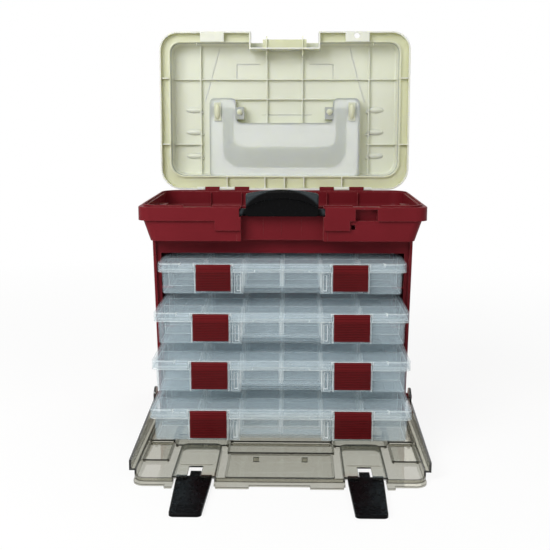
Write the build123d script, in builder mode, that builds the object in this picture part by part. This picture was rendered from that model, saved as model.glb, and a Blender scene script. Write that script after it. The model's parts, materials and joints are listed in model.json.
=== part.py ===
from build123d import *
import os
from math import cos, radians, sin, tan

os.makedirs("parts", exist_ok=True)

# A rack tackle box: a top tray with a hinged lid, over a rack of four utility boxes
# behind a fold-down door. It stands on z = 0, X is to its right and its front faces -Y.
# It is drawn as it is used: lid up, door down, the boxes pulled out in steps.
# All sizes are in millimetres.

# Utility boxes
box_count = 4
box_width = 355.6
box_depth = 232.0
box_height = 46.4
box_pitch = 61.5
box_lowest = 29.4
box_wall = 1.8
box_side_step = 4.8
box_front_step = 6.0
box_lid_top = 2.0
box_lid_skirt = 13.2
box_draft = 1.5
box_corner = 6.0
box_edge_round = 3.0
box_columns = 6
box_rows = 4
box_seat = 30.0
box_drawn = (43.5, 92.0, 118.0, 143.0)
box_foot_gap = 112.0
box_foot_height = 10.0
box_foot_depth = 14.0
box_post_width = 12.0
box_post_proud = 1.6
box_post_slot = 4.6
box_post_slot_depth = 1.2
divider_thick = 1.2
divider_rib = 1.6
divider_slack = 0.3
divider_top_gap = 1.5
divided_columns = (6, 6, 3, 1)
box_bevel = 4.0
box_bevel_half = 147.0
box_step_half = 39.0
box_hinge_x = 112.0
box_hinge_width = 30.0
box_pin_radius = 1.25
box_knuckle_radius = 3.0

# Catches of the utility boxes
catch_x = 98.2
catch_width = 50.0
catch_thick = 2.5
catch_knuckle = 2.2
catch_pin_radius = 1.2
catch_foot = 5.6
catch_rib = 2.0
catch_ridges = 11
catch_ridge_pitch = 2.4
catch_gap = 0.5
catch_frame = 1.5

# Rack
rack_depth = 206.0
rack_wall = 3.0
rack_base_half = 189.0
rack_top_half = 192.7
rack_flange = 6.0
rack_edge = 4.0
frame_gap = 3.8
header_gap = 4.7
header_height = 22.0
ledge_overlap = 8.0
ledge_thick = 3.0
kick_depth = 40.0
kick_height = 20.0

# Door
hinge_height = 41.0
door_half = 197.0
door_flange = 7.0
door_flange_height = 12.0
door_wall = 2.6
skirt_thick = 3.0
skirt_root = 39.5
skirt_tip = 25.5
door_tub = 245.0
door_length = 254.0
door_tab_length = 261.5
door_tab_width = 12.0
door_tab_inner = 39.0
door_tab_outer = 148.0
door_corner = 16.0
door_lip = 7.5
door_curl = 40.0
door_ear = 14.0
door_pin_radius = 2.0
rack_ear = 9.0
rack_ear_boss = 6.0
door_clearance = 0.8

# Door latches
door_latch_x = 111.0
door_latch_width = 46.0
door_latch_thick = 4.4
door_latch_length = 108.0
door_latch_pivot = 238.0
door_latch_height = 5.2
door_latch_knuckle = 2.7
door_latch_pin_radius = 1.5
door_latch_arm = 25.0
door_latch_arm_width = 14.0
door_latch_arm_thick = 3.0
door_latch_arm_drop = 4.1
door_latch_droop = 1.3
door_latch_window = 11.0
door_latch_grips = 4
door_latch_grip_pitch = 5.0
cradle_depth = 8.2
cradle_wall = 2.0
cradle_gap = 3.5
terrace_inner = 73.0
terrace_outer = 152.0
terrace_high = 10.0
terrace_mid = 6.4
terrace_low = 4.2
bracket_places = (29.0, 37.0)
bracket_reach = 179.0
bracket_thick = 3.0

# Tray
tray_overhang = 42.0
tray_width = 422.0
tray_depth = 266.0
tray_height = 50.0
tray_band = 20.0
tray_wall = 3.0
tray_floor = 3.0
tray_draft_top = 204.0
tray_draft_base = 193.5
tray_corner_front = 18.0
tray_corner_back = 34.0
tub_inset_front = 4.0
tub_inset_back = 8.0
tub_corner_front = 14.0
tub_corner_back = 26.0
tray_rib = 1.5
tray_rib_places = (73.0, 125.5)
tray_ridge_inset = 4.6
tray_ridge = 2.4
tray_ridge_height = 2.6
tray_mouth_half = 201.0
tray_recess_half = 60.0
tray_recess_depth = 18.0
tray_block_width = 38.0
tray_block_drop = 14.0
lock_notch = (106.0, 138.0)
lock_x = 121.5
lock_radius = 4.5
lock_inset = 7.0
hook_pocket_width = 24.0
hook_pocket_depth = 23.0
hook_pocket_height = 25.0
hook_lip = 3.0

# Lid
lid_lean = 2.5
lid_grow = 1.0
lid_corner_front = 31.0
lid_corner_back = 36.0
crown_corner_front = 20.0
crown_corner_back = 26.0
crown_round = 6.0
lid_wall = 2.5
lid_flange = 14.0
lid_height = 41.0
lid_gap = 0.6
lid_channel = 14.5
lid_axis_rise = 4.0
lid_axis_inset = 2.0
lid_draft = 7.0
lid_recess_half = 57.5
lid_recess_depth = 26.5
lid_recess_height = 29.5
lid_notch_depth = 16.0
lid_pad = (105.0, 140.0)
lid_pad_depth = 14.5
lid_pad_thick = 3.0
lid_ledge_half = 37.0
lid_ledge_inset = 12.0
lid_rib = 2.0
lid_rib_height = 6.5
lid_deep_rib = 40.0
lid_ledge_rise = 15.0
lid_gusset = 7.0
lid_cross_reach = (187.0, 76.0)
lid_post_reach = 144.0
lid_twin_reach = 29.5
lid_bead = 3.0
gusset_places = (0.0, 33.5, 98.5)
lid_pin_radius = 1.5
lid_knuckle = 3.8
hinge_inset = 61.0
knuckle_length = 24.5
knuckle_end = 13.0
knuckle_gap = 1.0
running_gap = 0.06
clearance = 0.3

# Handle
handle_pivot = 132.0
handle_arm = (88.0, 107.0)
handle_bar = (36.0, 72.0)
handle_thick = 15.0
handle_corner = 32.0
handle_pin_radius = 3.0
handle_sink = 19.0
well_depth = 25.0
well_half = 126.5
well_reach = (22.0, 110.0)
well_arm = (85.5, 126.5)
well_arm_reach = 152.0
well_corner = 9.0
boss_inner = (69.5, 83.0)
boss_outer = (109.0, 121.0)
boss_inner_reach = (118.5, 139.5)
boss_outer_reach = (116.0, 147.0)
boss_proud = 3.0

# Centre latch
latch_half = 52.5
latch_foot_half = 62.0
latch_foot_round = 5.5
latch_lip = 4.5
latch_tooth_half = 36.0
latch_tooth_rise = 16.0
latch_seat = 3.0
latch_thick = 4.0
latch_axis_rise = -8.0
latch_axis_inset = 8.0
latch_top_rise = 27.7
latch_shoulder_rise = 21.6
latch_arch = (10.7, 24.0)
latch_tilt = 14.0
latch_pin_radius = 2.0
latch_knuckle = 4.4

# Places that follow from the sizes above
hinge_y = -rack_depth / 2
rack_back = rack_depth / 2
header_z = box_lowest + (box_count - 1) * box_pitch + box_height + header_gap
rack_height = header_z + header_height
frame_half = box_width / 2 + frame_gap
rim_z = rack_height + tray_height
band_z = rim_z - tray_band
tray_front = hinge_y - tray_overhang
tray_back = tray_front + tray_depth
tray_half = tray_width / 2
lid_half = tray_half + lid_grow
hinge_out = tray_half - hinge_inset
knuckle_pitch = knuckle_length + knuckle_gap
knuckle_high = hinge_out - knuckle_end - knuckle_gap
tray_knuckles = [(high - knuckle_length, high) for high in (knuckle_high - 2 * knuckle_pitch, knuckle_high)]
lid_knuckles = [(knuckle_high - knuckle_pitch - knuckle_length, knuckle_high - knuckle_pitch),
                (hinge_out - knuckle_end, hinge_out)]
lid_axis_y = tray_back - lid_axis_inset
lid_axis_z = rim_z + lid_axis_rise
latch_axis_y = tray_front + latch_axis_inset
latch_axis_z = rim_z + latch_axis_rise
box_base_half = box_width / 2 - box_side_step
box_base_top = box_height - box_lid_top - 0.3
box_skirt_z = box_height - box_lid_skirt
box_tops = [box_lowest + i * box_pitch for i in reversed(range(box_count))]
box_fronts = [hinge_y - box_seat - drawn for drawn in box_drawn]


def front_at(z):
    """Y of the rack's sloping front edge, just behind the closed door's skirt."""
    along = z - hinge_height
    skirt = skirt_root - (skirt_root - skirt_tip) * along / door_tub
    return hinge_y + skirt - hinge_height + door_clearance


def rack_half_at(z):
    """Half width of the rack's drafted side wall at a height."""
    return rack_base_half + (rack_top_half - rack_base_half) * z / rack_height


def across(x_low, x_high, y_low, y_high, z_low, z_high, mode=Mode.ADD):
    """A plain block between six faces, added to the part being built."""
    with BuildSketch(Plane.XY.offset(z_low), mode=Mode.PRIVATE) as foot:
        with Locations(((x_low + x_high) / 2, (y_low + y_high) / 2)):
            Rectangle(x_high - x_low, y_high - y_low)
    extrude(foot.sketch, amount=z_high - z_low, mode=mode)


def both_sides(x_low, x_high, y_low, y_high, z_low, z_high, mode=Mode.ADD):
    """The same block at the right and, mirrored, at the left."""
    across(x_low, x_high, y_low, y_high, z_low, z_high, mode)
    across(-x_high, -x_low, y_low, y_high, z_low, z_high, mode)


def bar_along_x(x_low, x_high, y, z, radius, mode=Mode.ADD):
    """A round bar or hole along X between two places."""
    with BuildSketch(Plane.YZ.offset(x_low), mode=Mode.PRIVATE) as ring:
        with Locations((y, z)):
            Circle(radius)
    extrude(ring.sketch, amount=x_high - x_low, mode=mode)


def rounded_plan(half, y_front, y_back, r_front, r_back):
    """A plan outline with its own corner radius at front and back."""
    with BuildSketch(mode=Mode.PRIVATE) as plan:
        with Locations((0, (y_front + y_back) / 2)):
            Rectangle(2 * half, y_back - y_front)
        fillet(plan.vertices().group_by(Axis.Y)[0], r_front)
        fillet(plan.vertices().group_by(Axis.Y)[-1], r_back)
    return plan.sketch


def save(shape, label):
    """Name a finished piece and write it."""
    shape.label = label
    export_step(shape, f"parts/{label}.step")


# Rack: one moulding with side walls, back, top, ledges and a stepped base
room_low = kick_height + rack_wall
with BuildPart() as rack_room:
    with BuildSketch(Plane.XZ.offset(-rack_back + rack_wall)):
        Polygon(
            (-rack_half_at(rack_wall) + rack_wall, rack_wall),
            (rack_half_at(rack_wall) - rack_wall, rack_wall),
            (rack_top_half - rack_wall, rack_height - rack_wall),
            (-rack_top_half + rack_wall, rack_height - rack_wall),
            align=None,
        )
    extrude(amount=rack_depth)
    with BuildSketch(Plane.YZ):
        Polygon(
            (front_at(room_low) + rack_flange + rack_wall, room_low),
            (hinge_y + kick_depth + rack_wall, room_low),
            (hinge_y + kick_depth + rack_wall, rack_wall),
            (rack_back - rack_wall, rack_wall),
            (rack_back - rack_wall, rack_height - rack_wall),
            (front_at(rack_height) + rack_flange + rack_wall, rack_height - rack_wall),
            align=None,
        )
    extrude(amount=rack_top_half, both=True, mode=Mode.INTERSECT)

with BuildPart() as rack_recess:
    with BuildSketch(Plane.XZ.offset(-rack_back)):
        Polygon(
            (-rack_half_at(room_low) + rack_edge, room_low),
            (rack_half_at(room_low) - rack_edge, room_low),
            (rack_top_half - rack_edge, rack_height + 1),
            (-rack_top_half + rack_edge, rack_height + 1),
            align=None,
        )
    extrude(amount=rack_depth + tray_overhang)
    with BuildSketch(Plane.YZ):
        Polygon(
            (tray_front, 0),
            (front_at(0) + rack_flange, 0),
            (front_at(rack_height + 1) + rack_flange, rack_height + 1),
            (tray_front, rack_height + 1),
            align=None,
        )
    extrude(amount=rack_top_half, both=True, mode=Mode.INTERSECT)

with BuildPart() as rack_body:
    with BuildSketch(Plane.XZ.offset(-rack_back)):
        Polygon(
            (-rack_base_half, 0),
            (rack_base_half, 0),
            (rack_top_half, rack_height),
            (-rack_top_half, rack_height),
            align=None,
        )
    extrude(amount=rack_depth + tray_overhang)
    with BuildSketch(Plane.YZ):
        Polygon(
            (front_at(0), 0),
            (rack_back, 0),
            (rack_back, rack_height),
            (front_at(rack_height), rack_height),
            align=None,
        )
    extrude(amount=rack_top_half + 1, both=True, mode=Mode.INTERSECT)
    add(rack_room.part, mode=Mode.SUBTRACT)
    add(rack_recess.part, mode=Mode.SUBTRACT)
    across(-frame_half, frame_half, tray_front, hinge_y + kick_depth / 2, room_low, header_z, Mode.SUBTRACT)
    kick_half = rack_base_half - rack_wall
    across(-kick_half, kick_half, tray_front, hinge_y + kick_depth, -1, kick_height, Mode.SUBTRACT)
    ledge_reach = box_base_half - ledge_overlap
    for bottom in box_tops:
        ledge_z = bottom - 0.3
        both_sides(
            ledge_reach, rack_half_at(ledge_z - ledge_thick) - rack_wall / 2,
            front_at(ledge_z) + rack_flange + rack_wall / 2, rack_back - rack_wall / 2,
            ledge_z - ledge_thick, ledge_z,
        )
    ear_out = rack_half_at(hinge_height - rack_ear)
    for side in (-1, 1):
        with BuildSketch(Plane.YZ.offset(side * (ear_out - rack_wall) if side > 0 else -ear_out)):
            with Locations((hinge_y, hinge_height)):
                Circle(rack_ear)
            with Locations((hinge_y + rack_ear, hinge_height)):
                Rectangle(2 * rack_ear, 2 * rack_ear)
        extrude(amount=rack_wall)
        boss_out = door_half - skirt_thick - door_clearance
        bar_along_x(min(side * ear_out, side * boss_out), max(side * ear_out, side * boss_out), hinge_y,
                    hinge_height, rack_ear_boss)
        bar_along_x(side * ear_out - 2 * rack_wall, side * ear_out + 2 * rack_wall, hinge_y, hinge_height,
                    door_pin_radius, Mode.SUBTRACT)
save(rack_body.part, "rack_body")

# Door hinge pins: a short pin through each of the rack's ears and the door's ear outside it
for side, name in ((-1, "left"), (1, "right")):
    pin_in = ear_out - rack_wall - 1.0
    pin_out = door_half + 0.6
    with BuildPart() as door_pin:
        low = pin_in if side > 0 else -pin_out
        bar_along_x(low, low + pin_out - pin_in, hinge_y, hinge_height, door_pin_radius)
        head = door_half + 0.3 if side > 0 else -door_half - 1.8
        bar_along_x(head, head + 1.5, hinge_y, hinge_height, door_pin_radius + 1.6)
    save(door_pin.part, f"door_hinge_pin_{name}")

# Tray: drafted tub, rim band, latch recess, and housings for the hooks and the padlock
tub_front = tray_front + tub_inset_front
tub_back = tray_back - tub_inset_back
recess_back = tray_front + tray_recess_depth
pocket_low = door_latch_x - hook_pocket_width / 2
pocket_high = door_latch_x + hook_pocket_width / 2
pocket_top = rack_height + hook_pocket_height
notch_back = tray_front + 2 * lock_inset
housing_half = tray_recess_half + latch_seat + tray_wall
with BuildPart() as top_tray:
    with BuildSketch(Plane.XY.offset(rack_height)):
        add(rounded_plan(tray_draft_base, tub_front + 0.5, tub_back - 6.0, tub_corner_front - 2,
                         tub_corner_back - 4))
    with BuildSketch(Plane.XY.offset(band_z)):
        add(rounded_plan(tray_draft_top, tub_front, tub_back, tub_corner_front, tub_corner_back))
    loft()
    with BuildSketch(Plane.XY.offset(band_z)):
        add(rounded_plan(tray_half, tray_front, tray_back, tray_corner_front, tray_corner_back))
    extrude(amount=tray_band)
    chamfer(top_tray.edges().group_by(Axis.Z)[-1], 0.8)
    with BuildSketch(Plane.XY.offset(band_z)):
        skirt = tray_wall
        add(rounded_plan(tray_half - skirt, tub_front, tray_back - skirt, tray_corner_front - skirt,
                         tray_corner_back - skirt))
        add(rounded_plan(tray_draft_top, tub_front - 1, tub_back, tub_corner_front, tub_corner_back),
            mode=Mode.SUBTRACT)
    extrude(amount=tray_band - tray_wall, mode=Mode.SUBTRACT)
    with BuildSketch(Plane.XY.offset(rack_height + tray_floor)):
        add(rounded_plan(tray_draft_base - 2.2, tub_front + 3.5, tub_back - 9.0, tub_corner_front - 4,
                         tub_corner_back - 6))
    with BuildSketch(Plane.XY.offset(band_z)):
        add(rounded_plan(tray_mouth_half, tub_front + tray_wall, tub_back - tray_wall, tub_corner_front - 3,
                         tub_corner_back - 3))
    loft(mode=Mode.SUBTRACT)
    with BuildSketch(Plane.XY.offset(band_z)):
        add(rounded_plan(tray_mouth_half, tub_front + tray_wall, tub_back - tray_wall, tub_corner_front - 3,
                         tub_corner_back - 3))
    extrude(amount=tray_band, mode=Mode.SUBTRACT)
    # sealing ridge on the rim
    inset = tray_ridge_inset
    ridge = inset + tray_ridge
    ridge_back = lid_axis_y - lid_knuckle - 1.0
    with BuildSketch(Plane.XY.offset(rim_z)):
        add(rounded_plan(tray_half - inset, tray_front + inset, ridge_back, lid_corner_front - inset,
                         lid_corner_back - inset))
        add(rounded_plan(tray_half - ridge, tray_front + ridge, ridge_back - tray_ridge,
                         lid_corner_front - ridge, lid_corner_back - ridge), mode=Mode.SUBTRACT)
    extrude(amount=tray_ridge_height)
    gap_low = lid_pad[0] - lid_wall - 1.0
    gap_high = lid_pad[1] + lid_wall + 1.0
    both_sides(gap_low, gap_high, tray_front, tray_front + 12, rim_z, rim_z + 4, Mode.SUBTRACT)
    # wall ribs that hold loose partitions
    for x in tray_rib_places:
        both_sides(x - tray_rib / 2, x + tray_rib / 2, tub_back - tray_wall - 4.0, tub_back - 1.0,
                   rack_height + tray_floor, rim_z - 2.0)
    both_sides(tray_mouth_half - 12.0, tray_mouth_half + 1.0, tray_front + 120.0, tray_front + 180.0,
               rim_z - 16.0, rim_z - 12.0)
    # housings inside the tub, then the spaces cut into them
    across(-housing_half, housing_half, tub_front, recess_back + tray_wall, rack_height, rim_z)
    both_sides(pocket_low - hook_lip, pocket_high + hook_lip, tub_front + 0.6,
               tub_front + hook_lip + hook_pocket_depth + tray_wall, rack_height, pocket_top + tray_wall)
    across(lock_notch[0] - tray_wall, lock_notch[1] + tray_wall, tub_front, notch_back + tray_wall,
           pocket_top, rim_z)
    both_sides(tray_recess_half, tray_recess_half + tray_block_width, tray_front, tub_front + 1.0,
               band_z - tray_block_drop, band_z)
    across(-tray_recess_half, tray_recess_half, tray_front - 1, recess_back, rack_height - 1, rim_z + 4,
           Mode.SUBTRACT)
    both_sides(pocket_low, pocket_high, tub_front + hook_lip, tub_front + hook_lip + hook_pocket_depth,
               rack_height - 1, pocket_top, Mode.SUBTRACT)
    across(lock_notch[0], lock_notch[1], tray_front - 1, notch_back, band_z, rim_z - tray_wall, Mode.SUBTRACT)
    with Locations((lock_x, tray_front + lock_inset, rim_z)):
        Hole(lock_radius, depth=tray_wall + 1.0)
    across(pocket_low + 1.0, pocket_low + 7.0, tray_front - 1, tub_front + hook_lip + 1.0,
           pocket_top - 8.0, pocket_top - 1.0, Mode.SUBTRACT)
    # knuckles for the lid pins and for the centre latch pin
    for low, high in tray_knuckles:
        for start in (low, -high):
            bar_along_x(start, start + high - low, lid_axis_y, lid_axis_z, lid_knuckle)
            across(start, start + high - low, lid_axis_y - lid_knuckle, tray_back, rim_z - 0.5, lid_axis_z)
            bar_along_x(start, start + high - low, lid_axis_y, lid_axis_z, lid_pin_radius, Mode.SUBTRACT)
    bar_along_x(-housing_half - 1, housing_half + 1, latch_axis_y, latch_axis_z, latch_pin_radius,
                Mode.SUBTRACT)
    # seats for the feet of the centre latch, open to the front
    seat = latch_foot_round + 2 * clearance
    seat_end = latch_foot_half + clearance
    bar_along_x(-seat_end, seat_end, latch_axis_y, latch_axis_z, seat, Mode.SUBTRACT)
    across(-seat_end, seat_end, tray_front - 1, latch_axis_y, latch_axis_z - seat, latch_axis_z + seat,
           Mode.SUBTRACT)
save(top_tray.part, "top_tray")

# Lid hinge pins: one for each pair of knuckles
for side, name in ((-1, "left"), (1, "right")):
    with BuildPart() as lid_pin:
        pin_low = tray_knuckles[0][0]
        pin_high = lid_knuckles[1][1] - 1.0
        bar_along_x(pin_low if side > 0 else -pin_high, pin_high if side > 0 else -pin_low,
                    lid_axis_y, lid_axis_z, lid_pin_radius)
    save(lid_pin.part, f"lid_hinge_pin_{name}")

# Centre latch, drawn upright and then tilted out about its pin
latch_front = latch_axis_y - 6.5
latch_low = latch_axis_z - latch_knuckle
latch_shoulder = rim_z + latch_shoulder_rise
latch_top = rim_z + latch_top_rise
with BuildPart() as centre_latch:
    with BuildSketch(Plane.XZ.offset(-latch_front - latch_thick)):
        with BuildLine():
            left = Line((-latch_half, latch_low), (-latch_half, latch_shoulder))
            ThreePointArc(left @ 1, (0, latch_top), (latch_half, latch_shoulder))
            Polyline((latch_half, latch_shoulder), (latch_half, latch_low), left @ 0)
        make_face()
    extrude(amount=latch_thick)
    fillet(centre_latch.edges().filter_by(Axis.Y), 4.0)
    fillet(centre_latch.faces().sort_by(Axis.Y)[0].edges(), 1.0)
    # finger lip: a crescent that stands proud of the plate
    lip_half = latch_half - 1.5
    lip_shoulder = latch_shoulder - 1
    arch_end, arch_middle = [latch_axis_z + rise for rise in latch_arch]
    with BuildSketch(Plane.XZ.offset(-latch_front)):
        with BuildLine():
            lower = ThreePointArc((-lip_half, arch_end), (0, arch_middle), (lip_half, arch_end))
            upper = ThreePointArc((-lip_half, lip_shoulder), (0, latch_top - 1), (lip_half, lip_shoulder))
            Line(lower @ 0, upper @ 0)
            Line(lower @ 1, upper @ 1)
        make_face()
    extrude(amount=latch_lip)
    fillet(centre_latch.faces().sort_by(Axis.Y)[0].edges(), 1.6)
    for start in (-latch_foot_half, latch_half - 10.0):
        bar_along_x(start, start + latch_foot_half - latch_half + 10.0, latch_axis_y, latch_axis_z,
                    latch_foot_round)
    tooth_z = rim_z + latch_tooth_rise
    across(-latch_tooth_half, latch_tooth_half, latch_front + latch_thick - 0.5,
           tray_front + lid_ledge_inset + 2.0, tooth_z, tooth_z + 3.0)
    bar_along_x(-latch_foot_half - 1, latch_foot_half + 1, latch_axis_y, latch_axis_z,
                latch_pin_radius + running_gap, Mode.SUBTRACT)
latch_axis = Axis((0, latch_axis_y, latch_axis_z), (1, 0, 0))
save(centre_latch.part.rotate(latch_axis, latch_tilt), "centre_latch")

with BuildPart() as latch_pin:
    bar_along_x(-housing_half, housing_half, latch_axis_y, latch_axis_z, latch_pin_radius)
save(latch_pin.part, "centre_latch_pin")

# Lid, drawn shut and then swung back on its pins
lid_front = tray_front
lid_back = tray_back - 1.0
lid_low = rim_z + lid_gap
flange_z = rim_z + lid_flange
lid_top = rim_z + lid_height
crown_half = lid_half - lid_channel
crown_front = lid_front + lid_channel
crown_back = lid_axis_y - well_reach[0] + lid_wall
recess_wall = lid_front + lid_recess_depth


def from_hinge(distance):
    """Y, with the lid shut, of a place this far forward of its hinge line."""
    return lid_axis_y - distance


def well_plan(grow):
    """U-shaped plan of the handle well, grown outwards by a wall."""
    with BuildSketch(mode=Mode.PRIVATE) as plan:
        y_back = from_hinge(well_reach[0]) + grow
        y_front = from_hinge(well_reach[1]) - grow
        with Locations((0, (y_front + y_back) / 2)):
            Rectangle(2 * (well_half + grow), y_back - y_front)
        arm_front = from_hinge(well_arm_reach) - grow
        arm_low = well_arm[0] - grow
        arm_high = well_arm[1] + grow
        for side in (-1, 1):
            with Locations((side * (arm_low + arm_high) / 2, (arm_front + y_back) / 2)):
                Rectangle(arm_high - arm_low, y_back - arm_front)
        fillet(plan.vertices(), well_corner)
    return plan.sketch


with BuildPart() as lid_crown:
    with BuildSketch(Plane.XY.offset(flange_z - lid_wall)):
        add(rounded_plan(crown_half, crown_front, crown_back, crown_corner_front, crown_corner_back))
    extrude(amount=lid_height - lid_flange + lid_wall, taper=lid_draft)
    fillet(lid_crown.faces().sort_by(Axis.Z)[-1].edges(), crown_round)

with BuildPart() as lid_room:
    with BuildSketch(Plane.XY.offset(flange_z - lid_wall)):
        w = lid_wall
        add(rounded_plan(crown_half - w, crown_front + w, crown_back - w, crown_corner_front - w,
                         crown_corner_back - w))
    extrude(amount=lid_height - lid_flange, taper=lid_draft)
    fillet(lid_room.faces().sort_by(Axis.Z)[-1].edges(), crown_round - lid_wall)

with BuildPart() as lid_body:
    with BuildSketch(Plane.XY.offset(lid_low)):
        add(rounded_plan(lid_half, lid_front, lid_back, lid_corner_front, lid_corner_back))
    extrude(amount=flange_z - lid_low)
    fillet(lid_body.faces().sort_by(Axis.Z)[-1].edges(), 3.0)
    with BuildSketch(Plane.XY.offset(lid_low)):
        w = lid_wall
        add(rounded_plan(lid_half - w, lid_front + w, lid_back - w, lid_corner_front - w,
                         lid_corner_back - w))
    extrude(amount=flange_z - lid_wall - lid_low, mode=Mode.SUBTRACT)
    add(lid_crown.part)
    add(lid_room.part, mode=Mode.SUBTRACT)
    # bead round the mouth of the crown
    with BuildSketch(Plane.XY.offset(flange_z - lid_wall - lid_bead)):
        add(rounded_plan(crown_half, crown_front, crown_back, crown_corner_front, crown_corner_back))
        add(rounded_plan(crown_half - w, crown_front + w, crown_back - w, crown_corner_front - w,
                         crown_corner_back - w), mode=Mode.SUBTRACT)
    extrude(amount=lid_bead)
    # ribs under the crown, and gussets in the channel round it
    rib_top = lid_top - lid_wall
    rib_low = rib_top - lid_rib_height
    far_y, near_y = [from_hinge(reach) for reach in lid_cross_reach]
    rib_end = crown_half - 5
    across(-rib_end, rib_end, far_y - lid_rib / 2, far_y + lid_rib / 2, rib_low, rib_top)
    both_sides(lid_post_reach - lid_rib, rib_end, near_y - lid_rib / 2, near_y + lid_rib / 2, rib_low,
               rib_top)
    both_sides(lid_post_reach, lid_post_reach + lid_rib, crown_front + 5, crown_back - 5, rib_low, rib_top)
    twin_end = lid_twin_reach + lid_rib
    both_sides(lid_twin_reach, twin_end, crown_front + 5, from_hinge(well_reach[1]), rib_low, rib_top)
    gusset_low = flange_z - lid_wall - lid_gusset
    for y in (far_y, near_y):
        both_sides(crown_half - 1, lid_half - 1, y - lid_rib / 2, y + lid_rib / 2, gusset_low, flange_z - 1)
    for x in gusset_places:
        both_sides(x - lid_rib / 2, x + lid_rib / 2, crown_back - 1, lid_back - 1, gusset_low, flange_z - 1)
    # handle well, sunk from outside, and the bosses for the handle pins
    with BuildSketch(Plane.XY.offset(lid_top - well_depth)):
        add(well_plan(lid_wall))
    extrude(amount=well_depth - lid_wall)
    both_sides(boss_inner[0], boss_inner[1], from_hinge(boss_inner_reach[1]), from_hinge(boss_inner_reach[0]),
               lid_top - well_depth, rib_top)
    both_sides(boss_outer[0], boss_outer[1], from_hinge(boss_outer_reach[1]), from_hinge(boss_outer_reach[0]),
               lid_top - well_depth - boss_proud, lid_top - well_depth + 1)
    arm_end = from_hinge(well_arm_reach) - lid_wall
    across(-well_arm[0], well_arm[0], arm_end, arm_end + lid_rib, rib_low, rib_top)
    with BuildSketch(Plane.XY.offset(lid_top - well_depth + lid_wall)):
        add(well_plan(0))
    extrude(amount=well_depth, mode=Mode.SUBTRACT)
    handle_axis_y = from_hinge(handle_pivot)
    both_sides(handle_arm[1] + 1.0, well_arm[1] + 1.0, handle_axis_y - 9, handle_axis_y + 9,
               lid_top - well_depth + 1.0, lid_top - 6.0)
    handle_axis_z = lid_top - handle_sink + handle_thick / 2
    pin_low = 72.0
    pin_high = handle_arm[1] + 12.0
    for start in (pin_low, -pin_high):
        bar_along_x(start, start + pin_high - pin_low, handle_axis_y, handle_axis_z, handle_pin_radius,
                    Mode.SUBTRACT)
    # latch recess in the front with the ledge that the latch snaps over
    recess_top = rim_z + lid_recess_height
    ledge_top = rim_z + lid_ledge_rise
    across(-lid_recess_half - lid_wall, lid_recess_half + lid_wall, lid_front, recess_wall + lid_wall,
           lid_low, recess_top + lid_wall)
    across(-lid_recess_half, lid_recess_half, lid_front - 1, recess_wall, lid_low - 1, recess_top,
           Mode.SUBTRACT)
    across(-lid_recess_half, lid_recess_half, lid_front - 1, lid_front + lid_notch_depth, lid_low - 1,
           lid_top + 1, Mode.SUBTRACT)
    across(-lid_ledge_half, lid_ledge_half, lid_front + lid_ledge_inset, recess_wall + 1, ledge_top - 3.0,
           ledge_top)
    both_sides(lid_twin_reach, twin_end, lid_front + lid_ledge_inset + 2.5, recess_wall + 1,
               ledge_top - 1, recess_top + 1)
    both_sides(lid_twin_reach, twin_end, recess_wall + 1, lid_front + lid_deep_rib, ledge_top, rib_top)
    # two front pockets over flat pads; the right pad takes a padlock
    pad_back = lid_front + lid_pad_depth
    both_sides(lid_pad[0] - lid_wall, lid_pad[1] + lid_wall, lid_front, pad_back + lid_wall, lid_low,
               flange_z - 1)
    both_sides(lid_pad[0], lid_pad[1], lid_front - 1, pad_back, lid_low + lid_pad_thick, flange_z + 6,
               Mode.SUBTRACT)
    with BuildSketch(Plane.XY.offset(lid_low - 1)):
        with Locations((lock_x, lid_front + lock_inset)):
            Circle(lock_radius)
    extrude(amount=lid_pad_thick + 2, mode=Mode.SUBTRACT)
    # hinge: clear the tray's knuckles, then add the lid's own
    for low, high in tray_knuckles:
        both_sides(low - 0.6, high + 0.6, lid_axis_y - lid_knuckle - 1.2, tray_back + 3, lid_low - 1,
                   lid_axis_z + lid_knuckle + 1.2, Mode.SUBTRACT)
    for low, high in lid_knuckles:
        for start in (low, -high):
            bar_along_x(start, start + high - low, lid_axis_y, lid_axis_z, lid_knuckle - 0.2)
            across(start, start + high - low, lid_back - lid_wall, lid_axis_y + lid_knuckle - 0.2,
                   lid_axis_z, lid_axis_z + 5.0)
            bar_along_x(start - 1, start + high - low + 1, lid_axis_y, lid_axis_z,
                        lid_pin_radius + running_gap, Mode.SUBTRACT)
lid_axis = Axis((0, lid_axis_y, lid_axis_z), (1, 0, 0))
lid_swing = 90.0 + lid_lean
save(lid_body.part.rotate(lid_axis, -lid_swing), "lid")

# Handle, drawn folded in its well, and swung back with the lid
bar_back = from_hinge(handle_bar[0])
bar_front = from_hinge(handle_bar[1])
with BuildPart() as handle:
    with BuildSketch(Plane.XY.offset(lid_top - handle_sink)) as grip:
        with Locations((0, (bar_back + handle_axis_y) / 2)):
            Rectangle(2 * handle_arm[1], bar_back - handle_axis_y)
        fillet(grip.vertices().group_by(Axis.Y)[-1], handle_corner)
    extrude(amount=handle_thick)
    with BuildSketch(Plane.XY.offset(lid_top - handle_sink)) as gap:
        with Locations((0, (bar_front + handle_axis_y) / 2 - 10)):
            Rectangle(2 * handle_arm[0], bar_front - handle_axis_y + 20)
        fillet(gap.vertices().group_by(Axis.Y)[-1], handle_corner / 2)
    extrude(amount=handle_thick, mode=Mode.SUBTRACT)
    for start in (-handle_arm[1], handle_arm[0]):
        bar_along_x(start, start + handle_arm[1] - handle_arm[0], handle_axis_y, handle_axis_z,
                    handle_thick / 2)
    fillet(handle.edges().filter_by(Plane.XY).filter_by(lambda e: e.center().Y > handle_axis_y + 2), 4.0)
    bar_along_x(-handle_arm[1] - 1, handle_arm[1] + 1, handle_axis_y, handle_axis_z,
                handle_pin_radius + running_gap, Mode.SUBTRACT)
save(handle.part.rotate(lid_axis, -lid_swing), "carry_handle")

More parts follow.
